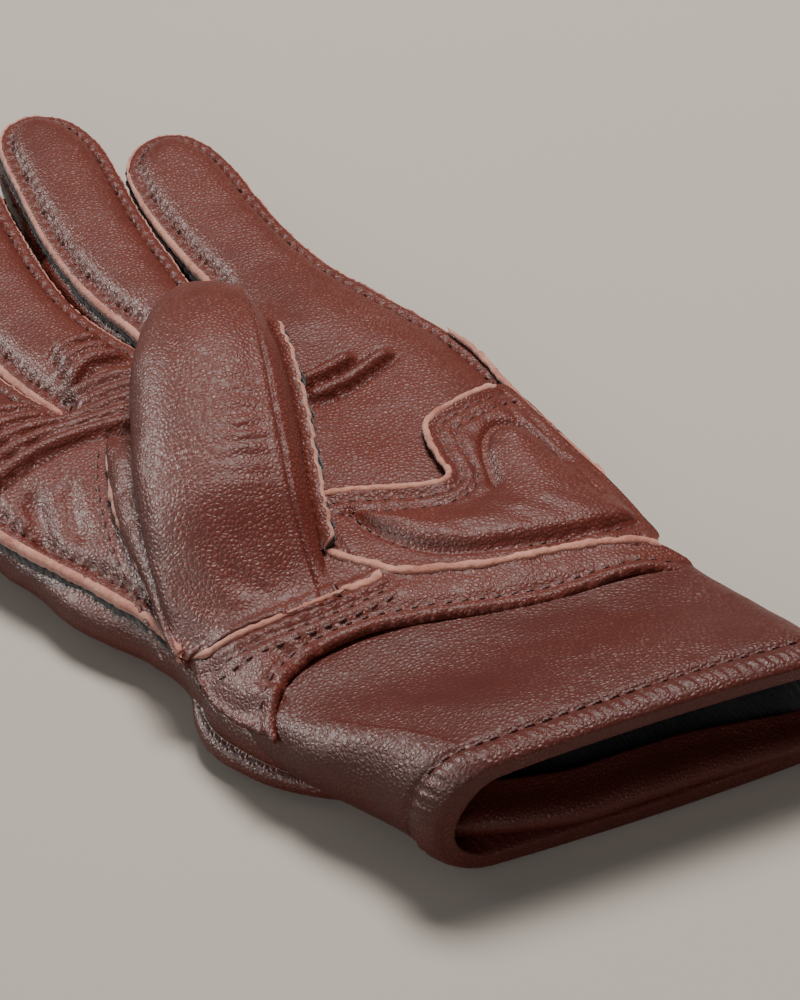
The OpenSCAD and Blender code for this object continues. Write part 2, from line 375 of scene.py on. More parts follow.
def relax(v, f, rounds, amount=0.5):
    """Evens out a skin's vertices."""
    e = np.unique(np.sort(edges_of(f), axis=1), axis=0)
    for _ in range(rounds):
        total, count = np.zeros_like(v), np.zeros(len(v))
        for a, b in ((0, 1), (1, 0)):
            np.add.at(total, e[:, a], v[e[:, b]])
            np.add.at(count, e[:, a], 1)
        v = mix(v, total / np.maximum(count, 1)[:, None], amount)
    return v


def refine(v, f):
    """Cuts each face in four, without moving the surface."""
    quad = f[:, 3] >= 0
    key, back = np.unique(np.sort(edges_of(f), axis=1), axis=0, return_inverse=True)
    back = back.ravel() + len(v)
    mid = v[key].mean(axis=1)
    q, t = f[quad], f[~quad]
    n = len(f)
    first, second = back[:n], back[n:2 * n]
    third = np.zeros(n, int)
    fourth = np.zeros(n, int)
    nq, nt = len(q), len(t)
    third[quad] = back[2 * n:2 * n + nq]
    fourth[quad] = back[2 * n + nq:2 * n + 2 * nq]
    third[~quad] = back[2 * n + 2 * nq:2 * n + 2 * nq + nt]
    centre = len(v) + len(mid) + np.arange(nq)
    made = []
    a, b, c, d = first[quad], second[quad], third[quad], fourth[quad]
    for corner, nxt, prv in ((0, a, d), (1, b, a), (2, c, b), (3, d, c)):
        made.append(np.column_stack([q[:, corner], nxt, centre, prv]))
    a, b, c = first[~quad], second[~quad], third[~quad]
    minus = np.full(nt, -1)
    made.append(np.column_stack([t[:, 0], a, c, minus]))
    made.append(np.column_stack([t[:, 1], b, a, minus]))
    made.append(np.column_stack([t[:, 2], c, b, minus]))
    made.append(np.column_stack([a, b, c, minus]))
    return np.vstack([v, mid, v[q].mean(axis=1)]), np.vstack(made)


def part_of(v, f, mask, mats=None):
    """The faces in mask, with only the vertices that they use."""
    g = f[mask]
    used = np.unique(g[g >= 0])
    renumber = np.full(len(v) + 1, -1)
    renumber[used] = np.arange(len(used))
    return v[used], renumber[g], (None if mats is None else mats[mask])


def joined(parts):
    """Several (verts, faces, mats) as one."""
    vs, fs, ms, n = [], [], [], 0
    for v, f, m in parts:
        vs.append(v)
        fs.append(np.where(f >= 0, f + n, -1))
        ms.append(m)
        n += len(v)
    return np.vstack(vs), np.vstack(fs), np.concatenate(ms)


# ---------------------------------------------------------------- materials

def nodes_for(name):
    m = bpy.data.materials.new(name)
    m.use_nodes = True
    tree = m.node_tree
    shader = tree.nodes["Principled BSDF"]
    place = tree.nodes.new("ShaderNodeTexCoord")
    return m, tree, shader, place.outputs["Object"]


def node(tree, kind, inputs=(), **settings):
    n = tree.nodes.new(kind)
    for k, v in settings.items():
        setattr(n, k, v)
    for k, v in dict(inputs).items():
        if isinstance(v, bpy.types.NodeSocket):
            tree.links.new(v, n.inputs[k])
        else:
            n.inputs[k].default_value = v
    return n


def dress(tree, shader, **inputs):
    """Links or sets the shader's inputs, named with _ for a space."""
    for k, v in inputs.items():
        socket = shader.inputs[k.replace("_", " ")]
        if isinstance(v, bpy.types.NodeSocket):
            tree.links.new(v, socket)
        else:
            socket.default_value = v


def maths(tree, operation, *values):
    """One step of arithmetic on signals or numbers."""
    return node(tree, "ShaderNodeMath", dict(enumerate(values)), operation=operation).outputs[0]


def bumps(tree, shader, height, depth_mm, strength):
    """Gives the surface small relief from a height signal."""
    bump = node(tree, "ShaderNodeBump", {"Height": height, "Distance": depth_mm * MM, "Strength": strength})
    dress(tree, shader, Normal=bump.outputs[0])


def ramp(tree, value, stops):
    r = tree.nodes.new("ShaderNodeValToRGB")
    tree.links.new(value, r.inputs[0])
    r.color_ramp.elements[0].position, r.color_ramp.elements[0].color = stops[0]
    r.color_ramp.elements[1].position, r.color_ramp.elements[1].color = stops[-1]
    for at, colour in stops[1:-1]:
        r.color_ramp.elements.new(at).color = colour
    return r.outputs[0]


def grain_leather(name, base, dark, light, cell=0.85, rough=0.40, depth_mm=0.10):
    """Pebbled leather: cells with soft creases between them, fine pores, and slow changes of colour."""
    m, tree, shader, place = nodes_for(name)
    wander = node(tree, "ShaderNodeTexNoise", {"Vector": place, "Scale": 210, "Detail": 2})
    bent = node(tree, "ShaderNodeVectorMath", {0: wander.outputs["Color"], 3: 0.0009}, operation="SCALE")
    where = node(tree, "ShaderNodeVectorMath", {0: place, 1: bent.outputs[0]}, operation="ADD")
    pores = {"Vector": where.outputs[0], "Scale": 1000 / cell, "Randomness": 0.9}
    cells, blob = [node(tree, "ShaderNodeTexVoronoi", pores, feature=feature).outputs["Distance"]
                   for feature in ("DISTANCE_TO_EDGE", "SMOOTH_F1")]
    pebble = node(tree, "ShaderNodeMapRange", {"Value": cells, 1: 0.0, 2: 0.36, 3: 0.0, 4: 1.0},
                  interpolation_type="SMOOTHSTEP")
    fine = node(tree, "ShaderNodeTexNoise", {"Vector": place, "Scale": 2600, "Detail": 3})
    slow = node(tree, "ShaderNodeTexNoise", {"Vector": place, "Scale": 55, "Detail": 4, "Roughness": 0.6})
    amount = node(tree, "ShaderNodeMapRange", {"Value": slow.outputs["Fac"], 1: 0.3, 2: 0.7, 3: 0.45, 4: 1.0})
    lift = maths(tree, "MULTIPLY", pebble.outputs[0], amount.outputs[0])
    both = maths(tree, "ADD", lift, maths(tree, "MULTIPLY", blob, -0.5))
    bumps(tree, shader, maths(tree, "MULTIPLY_ADD", fine.outputs["Fac"], 0.08, both), depth_mm, 1.0)
    tone = ramp(tree, slow.outputs["Fac"], [(0.32, dark), (0.5, base), (0.7, light)])
    crease = node(tree, "ShaderNodeMix", {0: pebble.outputs[0], 6: dark, 7: tone}, data_type="RGBA")
    gloss = node(tree, "ShaderNodeMapRange",
                 {"Value": pebble.outputs[0], 1: 0.0, 2: 1.0, 3: rough + 0.06, 4: rough - 0.02})
    dress(tree, shader, Base_Color=crease.outputs[2], Roughness=gloss.outputs[0], Specular_IOR_Level=0.28)
    return m


def suede(name, base, dark, scale=900):
    """The fibrous cut edge of the hide."""
    m, tree, shader, place = nodes_for(name)
    fuzz = node(tree, "ShaderNodeTexNoise", {"Vector": place, "Scale": scale, "Detail": 5, "Roughness": 0.75})
    broad = node(tree, "ShaderNodeTexNoise", {"Vector": place, "Scale": 160, "Detail": 2})
    both = maths(tree, "ADD", fuzz.outputs["Fac"], broad.outputs["Fac"])
    half = maths(tree, "MULTIPLY", both, 0.5)
    bumps(tree, shader, fuzz.outputs["Fac"], 0.35, 0.9)
    dress(tree, shader, Base_Color=ramp(tree, half, [(0.38, dark), (0.6, base)]), Roughness=0.9,
          Sheen_Weight=0.35)
    return m


def knit(name, base, light):
    """Brushed knit: rows of loops under loose fibres."""
    m, tree, shader, place = nodes_for(name)
    rows = node(tree, "ShaderNodeTexWave", {"Vector": place, "Scale": 330, "Distortion": 3.0, "Detail": 2})
    fibre = node(tree, "ShaderNodeTexNoise", {"Vector": place, "Scale": 1800, "Detail": 4, "Roughness": 0.8})
    height = maths(tree, "MULTIPLY_ADD", fibre.outputs["Fac"], 1.2, rows.outputs["Fac"])
    bumps(tree, shader, height, 0.3, 0.8)
    dress(tree, shader, Base_Color=ramp(tree, fibre.outputs["Fac"], [(0.35, base), (0.8, light)]),
          Roughness=0.95, Sheen_Weight=0.2)
    return m


def twisted(name, base, light):
    """Twisted waxed thread."""
    m, tree, shader, place = nodes_for(name)
    turns = node(tree, "ShaderNodeTexWave", {"Vector": place, "Scale": 900, "Distortion": 1.5},
                 bands_direction="DIAGONAL")
    bumps(tree, shader, turns.outputs["Fac"], 0.08, 0.8)
    dress(tree, shader, Base_Color=ramp(tree, turns.outputs["Fac"], [(0.2, base), (0.9, light)]),
          Roughness=0.55)
    return m


OXBLOOD = (0.150, 0.0315, 0.0215, 1)
MAT = {
    "cuff_leather": grain_leather("oxblood_cuff_leather", (0.098, 0.0195, 0.0135, 1), (0.07, 0.013, 0.009, 1),
                                  (0.118, 0.026, 0.018, 1)),
    "leather": grain_leather("oxblood_leather", OXBLOOD, (0.092, 0.018, 0.012, 1), (0.165, 0.038, 0.026, 1)),
    "raw": suede("raw_cut_edge", (0.56, 0.245, 0.175, 1), (0.33, 0.105, 0.072, 1)),
    "flesh": suede("leather_flesh_side", (0.20, 0.075, 0.055, 1), (0.10, 0.035, 0.026, 1)),
    "thread": twisted("dark_red_thread", (0.04, 0.009, 0.007, 1), (0.13, 0.033, 0.024, 1)),
    "lining": knit("black_knit_lining", (0.004, 0.004, 0.0045, 1), (0.022, 0.022, 0.024, 1)),
}


# ---------------------------------------------------------------- pieces

def zone_names(x, y):
    """Which moving part each place on the hand belongs to: hand, or a finger's lower or upper part."""
    zone = np.full(x.shape, "hand", dtype=object)
    lane = np.zeros(x.shape, int)
    for slit in SLITS:
        line = np.array(slit, float)
        lane += x > np.interp(y, line[:, 1], line[:, 0])
    for i, name in enumerate(FINGERS):
        (bx, by, _), axis = BASE[name]
        way = np.array([-axis[1], axis[0]])
        t = (x - bx) * way[0] + (y - by) * way[1]
        reach = np.linalg.norm(KNUCKLE[name][0] - BASE[name][0]) - KNUCKLE_CUT
        zone[(lane == i) & (t > BLEND_IN)] = name + "_lower"
        zone[(lane == i) & (t > reach)] = name + "_upper"
    return zone


def attach(obj, zone):
    """Fixes a hand piece to the hand's body; every other piece keeps its place, baked into its vertices."""
    if zone == "hand":
        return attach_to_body(obj, "hand")
    if zone == "cuff":
        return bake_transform(obj)
    if zone == "gusset":
        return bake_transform(obj)
    if zone == "thumb":
        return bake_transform(obj)
    finger, half = zone.split("_")
    if half == "lower":
        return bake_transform(obj)
    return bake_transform(obj)


def build(name, v, f, mats, names, zone):
    """Makes one Blender piece from arrays and places it by its zone: a hand piece is fixed to its body."""
    mesh = bpy.data.meshes.new(name)
    faces = [tuple(int(k) for k in q if k >= 0) for q in f]
    mesh.from_pydata([tuple(p) for p in (v * MM).tolist()], [], faces)
    for n in names:
        mesh.materials.append(MAT[n])
    mesh.polygons.foreach_set("material_index", np.asarray(mats, np.int32))
    mesh.polygons.foreach_set("use_smooth", np.ones(len(faces), bool))
    mesh.validate()
    mesh.update()
    obj = bpy.data.objects.new(name, mesh)
    bpy.context.scene.collection.objects.link(obj)
    attach(obj, zone)
    return obj


def build_zoned(name, v, f, mats, names):
    """Makes a piece that spans the hand and the fingers, cut where each moving part begins."""
    c = centres_of(v, f)
    zone = zone_names(c[:, 0], c[:, 1])
    made = {}
    for z in sorted(set(zone)):
        pv, pf, pm = part_of(v, f, zone == z, mats)
        made[z] = build(f"{name}_{z}", pv, pf, pm, names, z)
    return made


# ---------------------------------------------------------------- the hand's shape

EDGE = spline(FRONT_EDGE, 0.8, closed=True)
EDGE_S = along(EDGE)


def rib_lines():
    """The sewn cords under the leather: long below the fingers, short higher up and beside the thumb."""
    lines = []
    for k in range(5):
        y = 1.5 + 3.9 * k
        lines.append([(-57.5 + 0.6 * k, y - 1.6), (-42, y + 1.2), (-28, y + 1.6 - 0.3 * k),
                      (-10, y - 1.5 - 0.3 * k)])
    for k in range(3):
        y = 20.5 + 3.7 * k
        lines.append([(-26 + 0.6 * k, y), (-21, y + 2.4), (-16, y + 3.0), (-10.5 - 0.8 * k, y + 2.2)])
    lines.append([(12, -9.5), (22, -8.4), (35, -4.6)])
    lines.append([(13, -4.2), (20, -3.4), (28, -1.4)])
    return [spline(points, 1.0) for points in lines]


RIBS = rib_lines()


def rib_height(x, y):
    """Rounded cords with a pinched, stitched groove on each side."""
    cord, groove = np.zeros(x.shape), np.zeros(x.shape)
    for line in RIBS:
        box = ((x > line[:, 0].min() - 4) & (x < line[:, 0].max() + 4)
               & (y > line[:, 1].min() - 4) & (y < line[:, 1].max() + 4))
        if not box.any():
            continue
        d, s = near(x[box], y[box], line)
        total = along(line)[-1]
        ends = smooth(np.minimum(s, total - s) / 3.5 + 0.1)
        cord[box] = np.maximum(cord[box], 2.3 * np.sqrt(np.clip(1 - (d / 1.85) ** 2, 0, 1)) * ends)
        groove[box] = np.minimum(groove[box], -1.5 * bell(d - 1.95, 0.6) * ends)
    return cord + groove * (cord <= 0.4)


def tip_lift(y):
    """How far the fingers curl up off the surface they lie on."""
    return 6.0 * smooth((y - 35) / 85)


FOLDS = [
    ([(-44.5, -4), (-45.6, -12), (-47.6, -19), (-46.2, -24)], 2.6, 2.4),
    ([(-37, -6), (-39.5, -14), (-41, -22)], 1.2, 1.8),
    ([(-44, -24), (-41, -29), (-40, -34)], 1.3, 1.5)]
FOLD_LINES = [(spline(points, 1.0), deep, wide) for points, deep, wide in FOLDS]


def wrist_line(x):
    """Where the front leather tucks under the wrist band."""
    return -56 - 0.18 * (x + 37)


def hand_top(x, y, d, s):
    """Height of the front leather."""
    finger = smooth((y - 16) / 22)
    side = smooth((-28 - x) / 18) * (1 - finger)
    edge = mix(15.2, 14.4, finger) - 1.6 * side + 0.55 * tip_lift(y)
    rise = mix(4.6, 4.0, finger)
    reach = mix(17, 9.8, finger)
    z = edge + rise * (1 - (1 - np.minimum(d / reach, 1)) ** 2.2)
    z = z + 0.7 * noise(x, y, 19, 3) * smooth(d / 8) * (1 - 0.5 * finger)
    z = z + 0.16 * noise(x, y, 6, 4) * smooth(d / 5)
    z = z + 1.3 * bell(np.hypot(x + 51, (y + 12) * 0.8), 8) * smooth((d - 1) / 5)
    for line, deep, wide in FOLD_LINES:
        df, sf = near(x, y, line)
        ends = smooth(np.minimum(sf, along(line)[-1] - sf) / 6 + 0.25)
        z = z - deep * bell(df, wide) * ends * smooth((d - 1) / 3)
    z = z + rib_height(x, y) * smooth((d - 1.5) / 2.5)
    z = z - 3.2 * smooth((wrist_line(x) - y) / 5)
    lip = 0.5 * smooth(1 - d / 2.2)
    pucker = 0.55 + 0.45 * np.cos(2 * math.pi * s / STITCH)
    return z + lip - 1.35 * bell(d - SEAM_INSET, 0.75) * pucker - 0.3 * bell(d - SEAM_INSET, 1.5)


def laid(height, outline):
    """A sheet's height as a function of x and y alone."""
    def at(x, y):
        d, s = depth(x, y, outline)
        return height(x, y, np.maximum(d, 0), s)
    return at


top_only = laid(hand_top, EDGE)


def make_front():
    """The front leather: palm and finger fronts, one hide with slits between the fingers."""
    v, f = sheet(EDGE, hand_top, 0.56)
    v, f, m = solid(v, f, LEATHER)
    for zone, obj in build_zoned("front_leather", v, f, m, ["leather", "raw"]).items():
        nodes = {"hand": ["palm_panel", "flex_rib_cords"]}.get(zone, [zone + "_front"])
        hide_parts(*nodes)


def make_back():
    """The back leather with its walls between the fingers: a shell, open towards the front leather."""
    step = 1.0
    low = np.array([-68.0, -90.0, -3.0])
    shape = (136, 222, 30)
    gx, gy = np.meshgrid(low[0] + np.arange(shape[0]) * step, low[1] + np.arange(shape[1]) * step,
                         indexing="ij")
    d, _ = depth(gx, gy, EDGE)
    finger = smooth((gy - 16) / 14)
    bulge = mix(3.2, 1.6, finger)
    bulge = bulge + 2.4 * bell(gy + 15, 34) * smooth((gx - 20) / 20) * (1 - finger)
    radial = smooth((-gx - 12) / 14) * (1 - finger)
    bulge = mix(bulge, 0.6, smooth((-gy - 54) / 12))
    bulge = mix(bulge, 0.6 + 1.2 * smooth((gy + 56) / 10) + 2.8 * bell(gy + 32, 12), radial)
    reach = d + bulge
    past_tips = 150
    walls = []
    for slit, full in zip(SLITS, (62, 60, 38)):
        line = np.array(slit + [(slit[-1][0], past_tips)], float)
        wall, _ = near(gx, gy, line)
        walls.append((wall, line[0, 1]))
        filled = 3.4 * smooth((7 - wall) / 3) * (1 - smooth((gy - full) / 18)) * smooth((gy - line[0, 1]) / 6)
        spare = 1.7 * smooth((8 - wall) / 3) * smooth((gy - 50) / 12)
        reach = np.maximum(reach, np.minimum(d + bulge + filled, 6)) - spare
    for wall, foot in walls:
        reach = np.minimum(reach, np.where(gy > foot - 4, wall - 0.75, 99))
    reach = np.minimum(reach, gy + 65 + (gx + 38) * 0.22)
    top = mix(14.4, 13.9, finger) + 0.55 * tip_lift(gy)
    top = top + 2.4 * (1 - (1 - np.clip(d / 12, 0, 1)) ** 2) - 0.8
    floor = tip_lift(gy) + 0.25 * (1 + noise(gx, gy, 16, 11))
    mid = mix(7.5, 8.0, finger) + 0.8 * tip_lift(gy)
    z = low[2] + np.arange(shape[2]) * step
    up = (z[None, None, :] - mid[..., None]) / (top - mid)[..., None]
    down = (mid[..., None] - z[None, None, :]) / (mid - floor)[..., None]
    across = np.clip(1 - reach / mix(11.0, 5.0, finger), 0, None)[..., None]
    high = np.maximum(up, down)
    power = mix(2.3, 3.4, finger)[..., None]
    field = (1 - (across ** power + np.abs(high) ** power) ** (1 / power)) * 7
    v, f = nets(field, low, step)
    v = relax(v, f, 3)
    c = centres_of(v, f)
    dc, _ = depth(c[:, 0], c[:, 1], EDGE)
    n = normals_of(v, f)[f[:, 0]]
    keep = ~((dc > 2.2) & (n[:, 2] > 0.2)) & (c[:, 1] > -86 - (c[:, 0] - 10) * 0.12)
    v, f, _ = part_of(v, f, keep)
    v, f = refine(v, f)
    v = relax(v, f, 2)
    n = normals_of(v, f)
    bump = 0.35 * noise(v[:, 0] + v[:, 2], v[:, 1], 9, 21) + 0.2 * noise(v[:, 0], v[:, 1] + v[:, 2], 4, 22)
    v = v + n * (bump * smooth((v[:, 2] - 1) / 3))[:, None]
    v, f, m = solid(v, f, 1.0)
    for zone, obj in build_zoned("back_leather", v, f, m, ["leather", "flesh"]).items():
        nodes = {"hand": ["back_panel", "radial_side_strip", "ulnar_side_strip"]}
        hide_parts(*nodes.get(zone, [zone + "_back", zone + "_sides"]))


def ribbon(line, out, z, profile, closed=True):
    """A strip along a line. profile, shaped (points, corners, 2), holds (outward, up) corners."""
    n, k = profile.shape[:2]
    xy = line[:, None, :] + out[:, None, :] * profile[:, :, :1]
    v = np.concatenate([xy, (z[:, None] + profile[:, :, 1])[..., None]], axis=2).reshape(-1, 3)
    rows = n + 1 if closed else n
    i = np.arange(rows - 1)[:, None]
    j = np.arange(k)[None, :]
    a, b = i * k, ((i + 1) % n) * k
    f = np.stack([a + j, a + (j + 1) % k, b + (j + 1) % k, b + j], axis=-1).reshape(-1, 4)
    side = np.broadcast_to(j, (rows - 1, k)).ravel()
    return v, f, side


def facing_left(out):
    """1 where an edge faces the thumb side, where the cut layers spread, 0 where it faces away."""
    return smooth(0.55 - 0.9 * (out[:, 0] * 0.866 - out[:, 1] * 0.5))


def make_edge_layer():
    """The cut edges of the seam: a raw, slightly fuzzy strip, thick in the crotches."""
    out = outward(EDGE)
    z = top_only(EDGE[:, 0] - out[:, 0] * 0.3, EDGE[:, 1] - out[:, 1] * 0.3)
    s = EDGE_S
    rough = 0.17 * noise(s, s * 0, 0.7, 31) + 0.14 * noise(s, s * 0, 4, 32)
    base = 1 - smooth((EDGE[:, 1] - 25) / 60)
    fat = (0.28 + 0.52 * facing_left(out)) * (0.72 + 0.5 * base)
    corners = np.array([(-2.6, -1.4), (-0.5, 0.12), (0.35, 0.1), (0.9, -0.35), (1.05, -1.1), (0.7, -1.8),
                        (-0.4, -2.2), (-2.6, -2.4)])
    profile = corners[None].repeat(len(EDGE), axis=0)
    profile[:, 1:7, 0] = profile[:, 1:7, 0] * fat[:, None] + rough[:, None]
    profile[:, 1:3, 1] += (rough * 0.9 + 0.25 * (fat - 0.9))[:, None]
    profile[:, 4:, 1] *= (0.75 + 0.3 * fat)[:, None]
    v, f, side = ribbon(EDGE, out, z, profile)
    mats = np.where((side >= 1) & (side <= 5), 1, 0)
    c = centres_of(v, f)
    keep = c[:, 1] > np.where(c[:, 0] < 0, -57, -64)
    v, f, mats = part_of(v, f, keep, mats)
    build_zoned("seam_strip", v, f, mats, ["leather", "raw"])
    corners = [(-1.5, -1.9), (0.9, -1.7), (1.45, -1.9), (1.3, -2.9), (-1.5, -3.2)]
    profile = np.array(corners)[None].repeat(len(EDGE), axis=0)
    profile[:, 1:4, 0] = profile[:, 1:4, 0] * fat[:, None] + 1.8 * rough[:, None]
    v, f, side = ribbon(EDGE, out, z, profile)
    c = centres_of(v, f)
    keep = (c[:, 1] > -54) & (c[:, 0] < 45)
    v, f, side = part_of(v, f, keep, side)
    build_zoned("seam_lining", v, f, side * 0, ["lining"])


def stitches(points, normals, ups, length=1.9, radius=0.36, pitch=STITCH, skip=None):
    """Separate raised stitches along a 3-D line: each a small bent capsule that dips in at both ends."""
    s = along(points)
    places = np.arange(pitch * 0.5, s[-1], pitch)
    parts = []
    rng = np.random.default_rng(5)
    ring = np.linspace(0, 2 * math.pi, 7)[:-1]
    steps = np.linspace(-0.5, 0.5, 6)
    for at in places:
        at = at + rng.uniform(-0.15, 0.15)
        rows = []
        tilt = rng.uniform(-0.12, 0.12)
        for t in steps:
            p = np.array([np.interp(at + t * length, s, points[:, k]) for k in range(3)])
            u = np.array([np.interp(at, s, ups[:, k]) for k in range(3)])
            w = np.array([np.interp(at, s, normals[:, k]) for k in range(3)])
            r = radius * (1 - (abs(t) * 2) ** 4 * 0.6)
            centre = p + u * (0.42 * (1 - (2 * t) ** 4) - 0.3) + w * tilt * t * length
            rows.append(centre + np.outer(np.cos(ring), w) * r + np.outer(np.sin(ring), u) * r)
        v = np.vstack(rows)
        f = grid_faces(len(steps), 6, wrap=True)
        caps = [[0, 1, 2, 3], [0, 3, 4, 5]]
        last = (len(steps) - 1) * 6
        caps += [[last + 3, last + 2, last + 1, last], [last + 5, last + 4, last + 3, last]]
        f = np.vstack([f, caps])
        if skip is None or not skip(*v.mean(axis=0)):
            parts.append((v, f, np.zeros(len(f), int)))
    return joined(parts)


def up_line(xy, height):
    """A drawn line laid on a surface: 3-D points, sideways vectors and up vectors."""
    z = height(xy[:, 0], xy[:, 1])
    side = outward(xy, closed=False)
    points = np.column_stack([xy, z])
    step = 0.4
    zs = height(xy[:, 0] + side[:, 0] * step, xy[:, 1] + side[:, 1] * step)
    across = unit(np.column_stack([side * step, zs - z]))
    way = unit(np.gradient(points, axis=0))
    ups = unit(np.cross(across, way))
    ups *= np.sign(ups[:, 2:3] + 1e-9)
    return points, across, ups


def make_front_stitches():
    out = outward(EDGE)
    inner = EDGE - out * SEAM_INSET
    d, _ = depth(inner[:, 0], inner[:, 1], EDGE)
    good = d > SEAM_INSET - 0.35
    cuts = np.flatnonzero(~good)
    runs, start = [], 0
    for c in list(cuts) + [len(inner)]:
        if c - start > 12:
            runs.append(np.arange(start, c))
        start = c + 1
    parts = []
    for run in runs:
        line = inner[run]
        if line[:, 1].max() < -70:
            continue
        parts.append(stitches(*up_line(line, top_only), skip=lambda x, y, z: y < -70))
    v, f, m = joined(parts)
    made = build_zoned("edge_stitching", v, f, m, ["thread"])
    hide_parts("palm_stitching")


# ---------------------------------------------------------------- heel patch, wrist band

HEEL_EDGE = [(-4, -36), (4, -37.6), (11.3, -41.1), (17, -43.8), (22, -45.2), (24.9, -43.6), (25.3, -39),
             (26.4, -33.6), (28, -29.6), (31, -27.7), (36.7, -26.3), (43, -25), (48.5, -23.4), (50.8, -25),
             (51, -37), (51.8, -47), (52.8, -57), (52.4, -68), (50.6, -76), (38, -76), (20, -74), (2, -68),
             (-6, -60), (-8, -50)]
PAD_EDGE = [(2.6, -43.5), (9, -47), (16, -51), (24, -52.6), (29.6, -51), (32.6, -46), (35, -40),
            (38.8, -36.2), (43.4, -36.2), (46, -39.6), (47.6, -46.7), (49.6, -53), (51, -60), (51, -66),
            (49.5, -70), (44, -70.4), (38.5, -69.5), (31, -68.2), (24.8, -66.3), (16.5, -63.4), (9.3, -58),
            (5, -50.5)]
PAD_CHANNEL = [(31.2, -51), (32.6, -46.4), (34, -42), (36.4, -38.2), (39.8, -35.8), (43.4, -36.5),
               (45.8, -39.6), (46.8, -46.7), (49.2, -53.1)]
PAD_LOW = [(3.2, -43.5), (5, -50.2), (9.3, -58), (16.5, -63.4), (24.8, -66.3), (38.5, -69.5), (49.5, -70.6)]
HEEL = spline(HEEL_EDGE, 0.8, closed=True)
PAD = spline(PAD_EDGE, 0.8, closed=True)
CHANNEL = spline(PAD_CHANNEL, 0.8)
PAD_LOW_LINE = spline(PAD_LOW, 0.8)


def heel_top(x, y, d, s):
    """The heel patch over its foam pad, with the sewn channel round the pad."""
    base = hand_smooth(x, y) + 1.25
    pd, _ = depth(x, y, PAD)
    low, _ = near(x, y, PAD_LOW_LINE)
    steep = smooth(1 - low / 14)
    pad = 2.6 * (1 - np.exp(-np.maximum(pd, 0) / mix(7.0, 1.8, steep)))
    cd, cs = near(x, y, CHANNEL)
    ends = smooth(np.minimum(cs + 2, (along(CHANNEL)[-1] - cs) * 0.5) / 4)
    channel = -1.5 * bell(cd, 1.0) * ends - 0.5 * bell(cd, 3.0) * ends
    groove = -1.2 * bell(low, 0.9) * smooth((pd + 2) / 2)
    lip = 0.35 * smooth(1 - d / 1.4)
    rows = -0.7 * bell(d - 2.4, 0.6) - 0.65 * bell(d - 5.4, 0.6) * (y > -62)
    wrinkle = 0.22 * noise(x * 1.6 + y, y, 5, 44) * smooth(d / 3)
    under = np.interp(x, [p[0] for p in BAND_TOP], [p[1] for p in BAND_TOP]) - y
    return base + pad + groove + channel + lip + rows * (x < 49) + wrinkle - 2.3 * smooth((under - 0.4) / 2.6)


def hand_smooth(x, y):
    """The front leather's height without its small detail, for what is sewn on top of it."""
    d, _ = depth(x, y, EDGE)
    left = np.interp(y, [-110, -82, -66, -52, -43], [-33, -33, -36.5, -37, -38.5])
    d = np.where(y < -40, np.minimum(x - left, 53.5 - x), d)
    d = np.maximum(d, 0)
    finger = smooth((y - 16) / 22)
    side = smooth((-28 - x) / 18) * (1 - finger)
    z = mix(15.2, 14.4, finger) - 1.6 * side + 4.6 * (1 - (1 - np.minimum(d / 17, 1)) ** 2.2)
    return z + 0.7 * noise(x, y, 19, 3) * smooth(d / 8) + 0.3


heel_only = laid(heel_top, HEEL)


def make_heel():
    v, f = sheet(HEEL, heel_top, 0.7)
    v, f, m = solid(v, f, 1.3)
    patch = build("heel_patch_leather", v, f, m, ["leather", "raw"], "hand")
    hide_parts("heel_patch", "heel_foam_pad")
    line = spline(HEEL_EDGE[:13], 0.5)
    raw_edge("heel_patch_cut_edge", line, heel_only, 0.72, 181, drop=0.35)
    line = spline([(50.6, 0), (51.8, -10), (51.6, -20), (51.4, -28), (51.6, -38), (52.4, -47), (53.4, -55)],
                  0.5)
    raw_edge("ulnar_cut_edge", line, lambda x, y: 0 * x + 16.9, 0.7, 191)
    rows = []
    for inset in (2.4, 5.4):
        line = spline(HEEL_EDGE[:13], 0.8)
        side = outward(line, closed=False)
        inner = line + side * inset
        keep = near(inner[:, 0], inner[:, 1], line)[0] > inset - 0.4
        inner = inner[keep]
        rows.append(stitches(*up_line(even(inner, 0.8), heel_only)))
    for line in (CHANNEL[:24], PAD_LOW_LINE):
        rows.append(stitches(*up_line(line, heel_only), length=1.7, radius=0.3, pitch=2.6))
    v, f, m = joined(rows)
    build("heel_stitching", v, f, m, ["thread"], "hand")


BAND_TOP = [(-5.5, -50), (-3, -54), (0.1, -58.2), (4, -62.4), (9.4, -65), (20.5, -69), (32.1, -71.2),
            (41.4, -73.7), (49.7, -77.4), (53.4, -82)]
BAND_LOW = [(-32.6, -83), (-30.6, -79), (-25.4, -74.2), (-17.7, -71.6), (-7.6, -71.6), (3.9, -74.6),
            (14.8, -78.3), (24.1, -80.6), (36.2, -81.8), (45.2, -83.6), (50.6, -86.6), (53.4, -89)]
BAND_LEFT = [(-36.4, -54), (-36.9, -60), (-37.3, -66), (-35.8, -73), (-34, -79), (-33, -82.4)]
THUMB_SEAM = [(-37.6, -57), (-31, -60.4), (-22, -61.6), (-13, -61.6), (-6, -61.8), (-0.5, -61.6)]
BAND_TOP_LINE = spline(BAND_TOP, 0.8)
BAND_LOW_LINE = spline(BAND_LOW, 0.8)
SEAM_LINE = spline(THUMB_SEAM, 0.8)


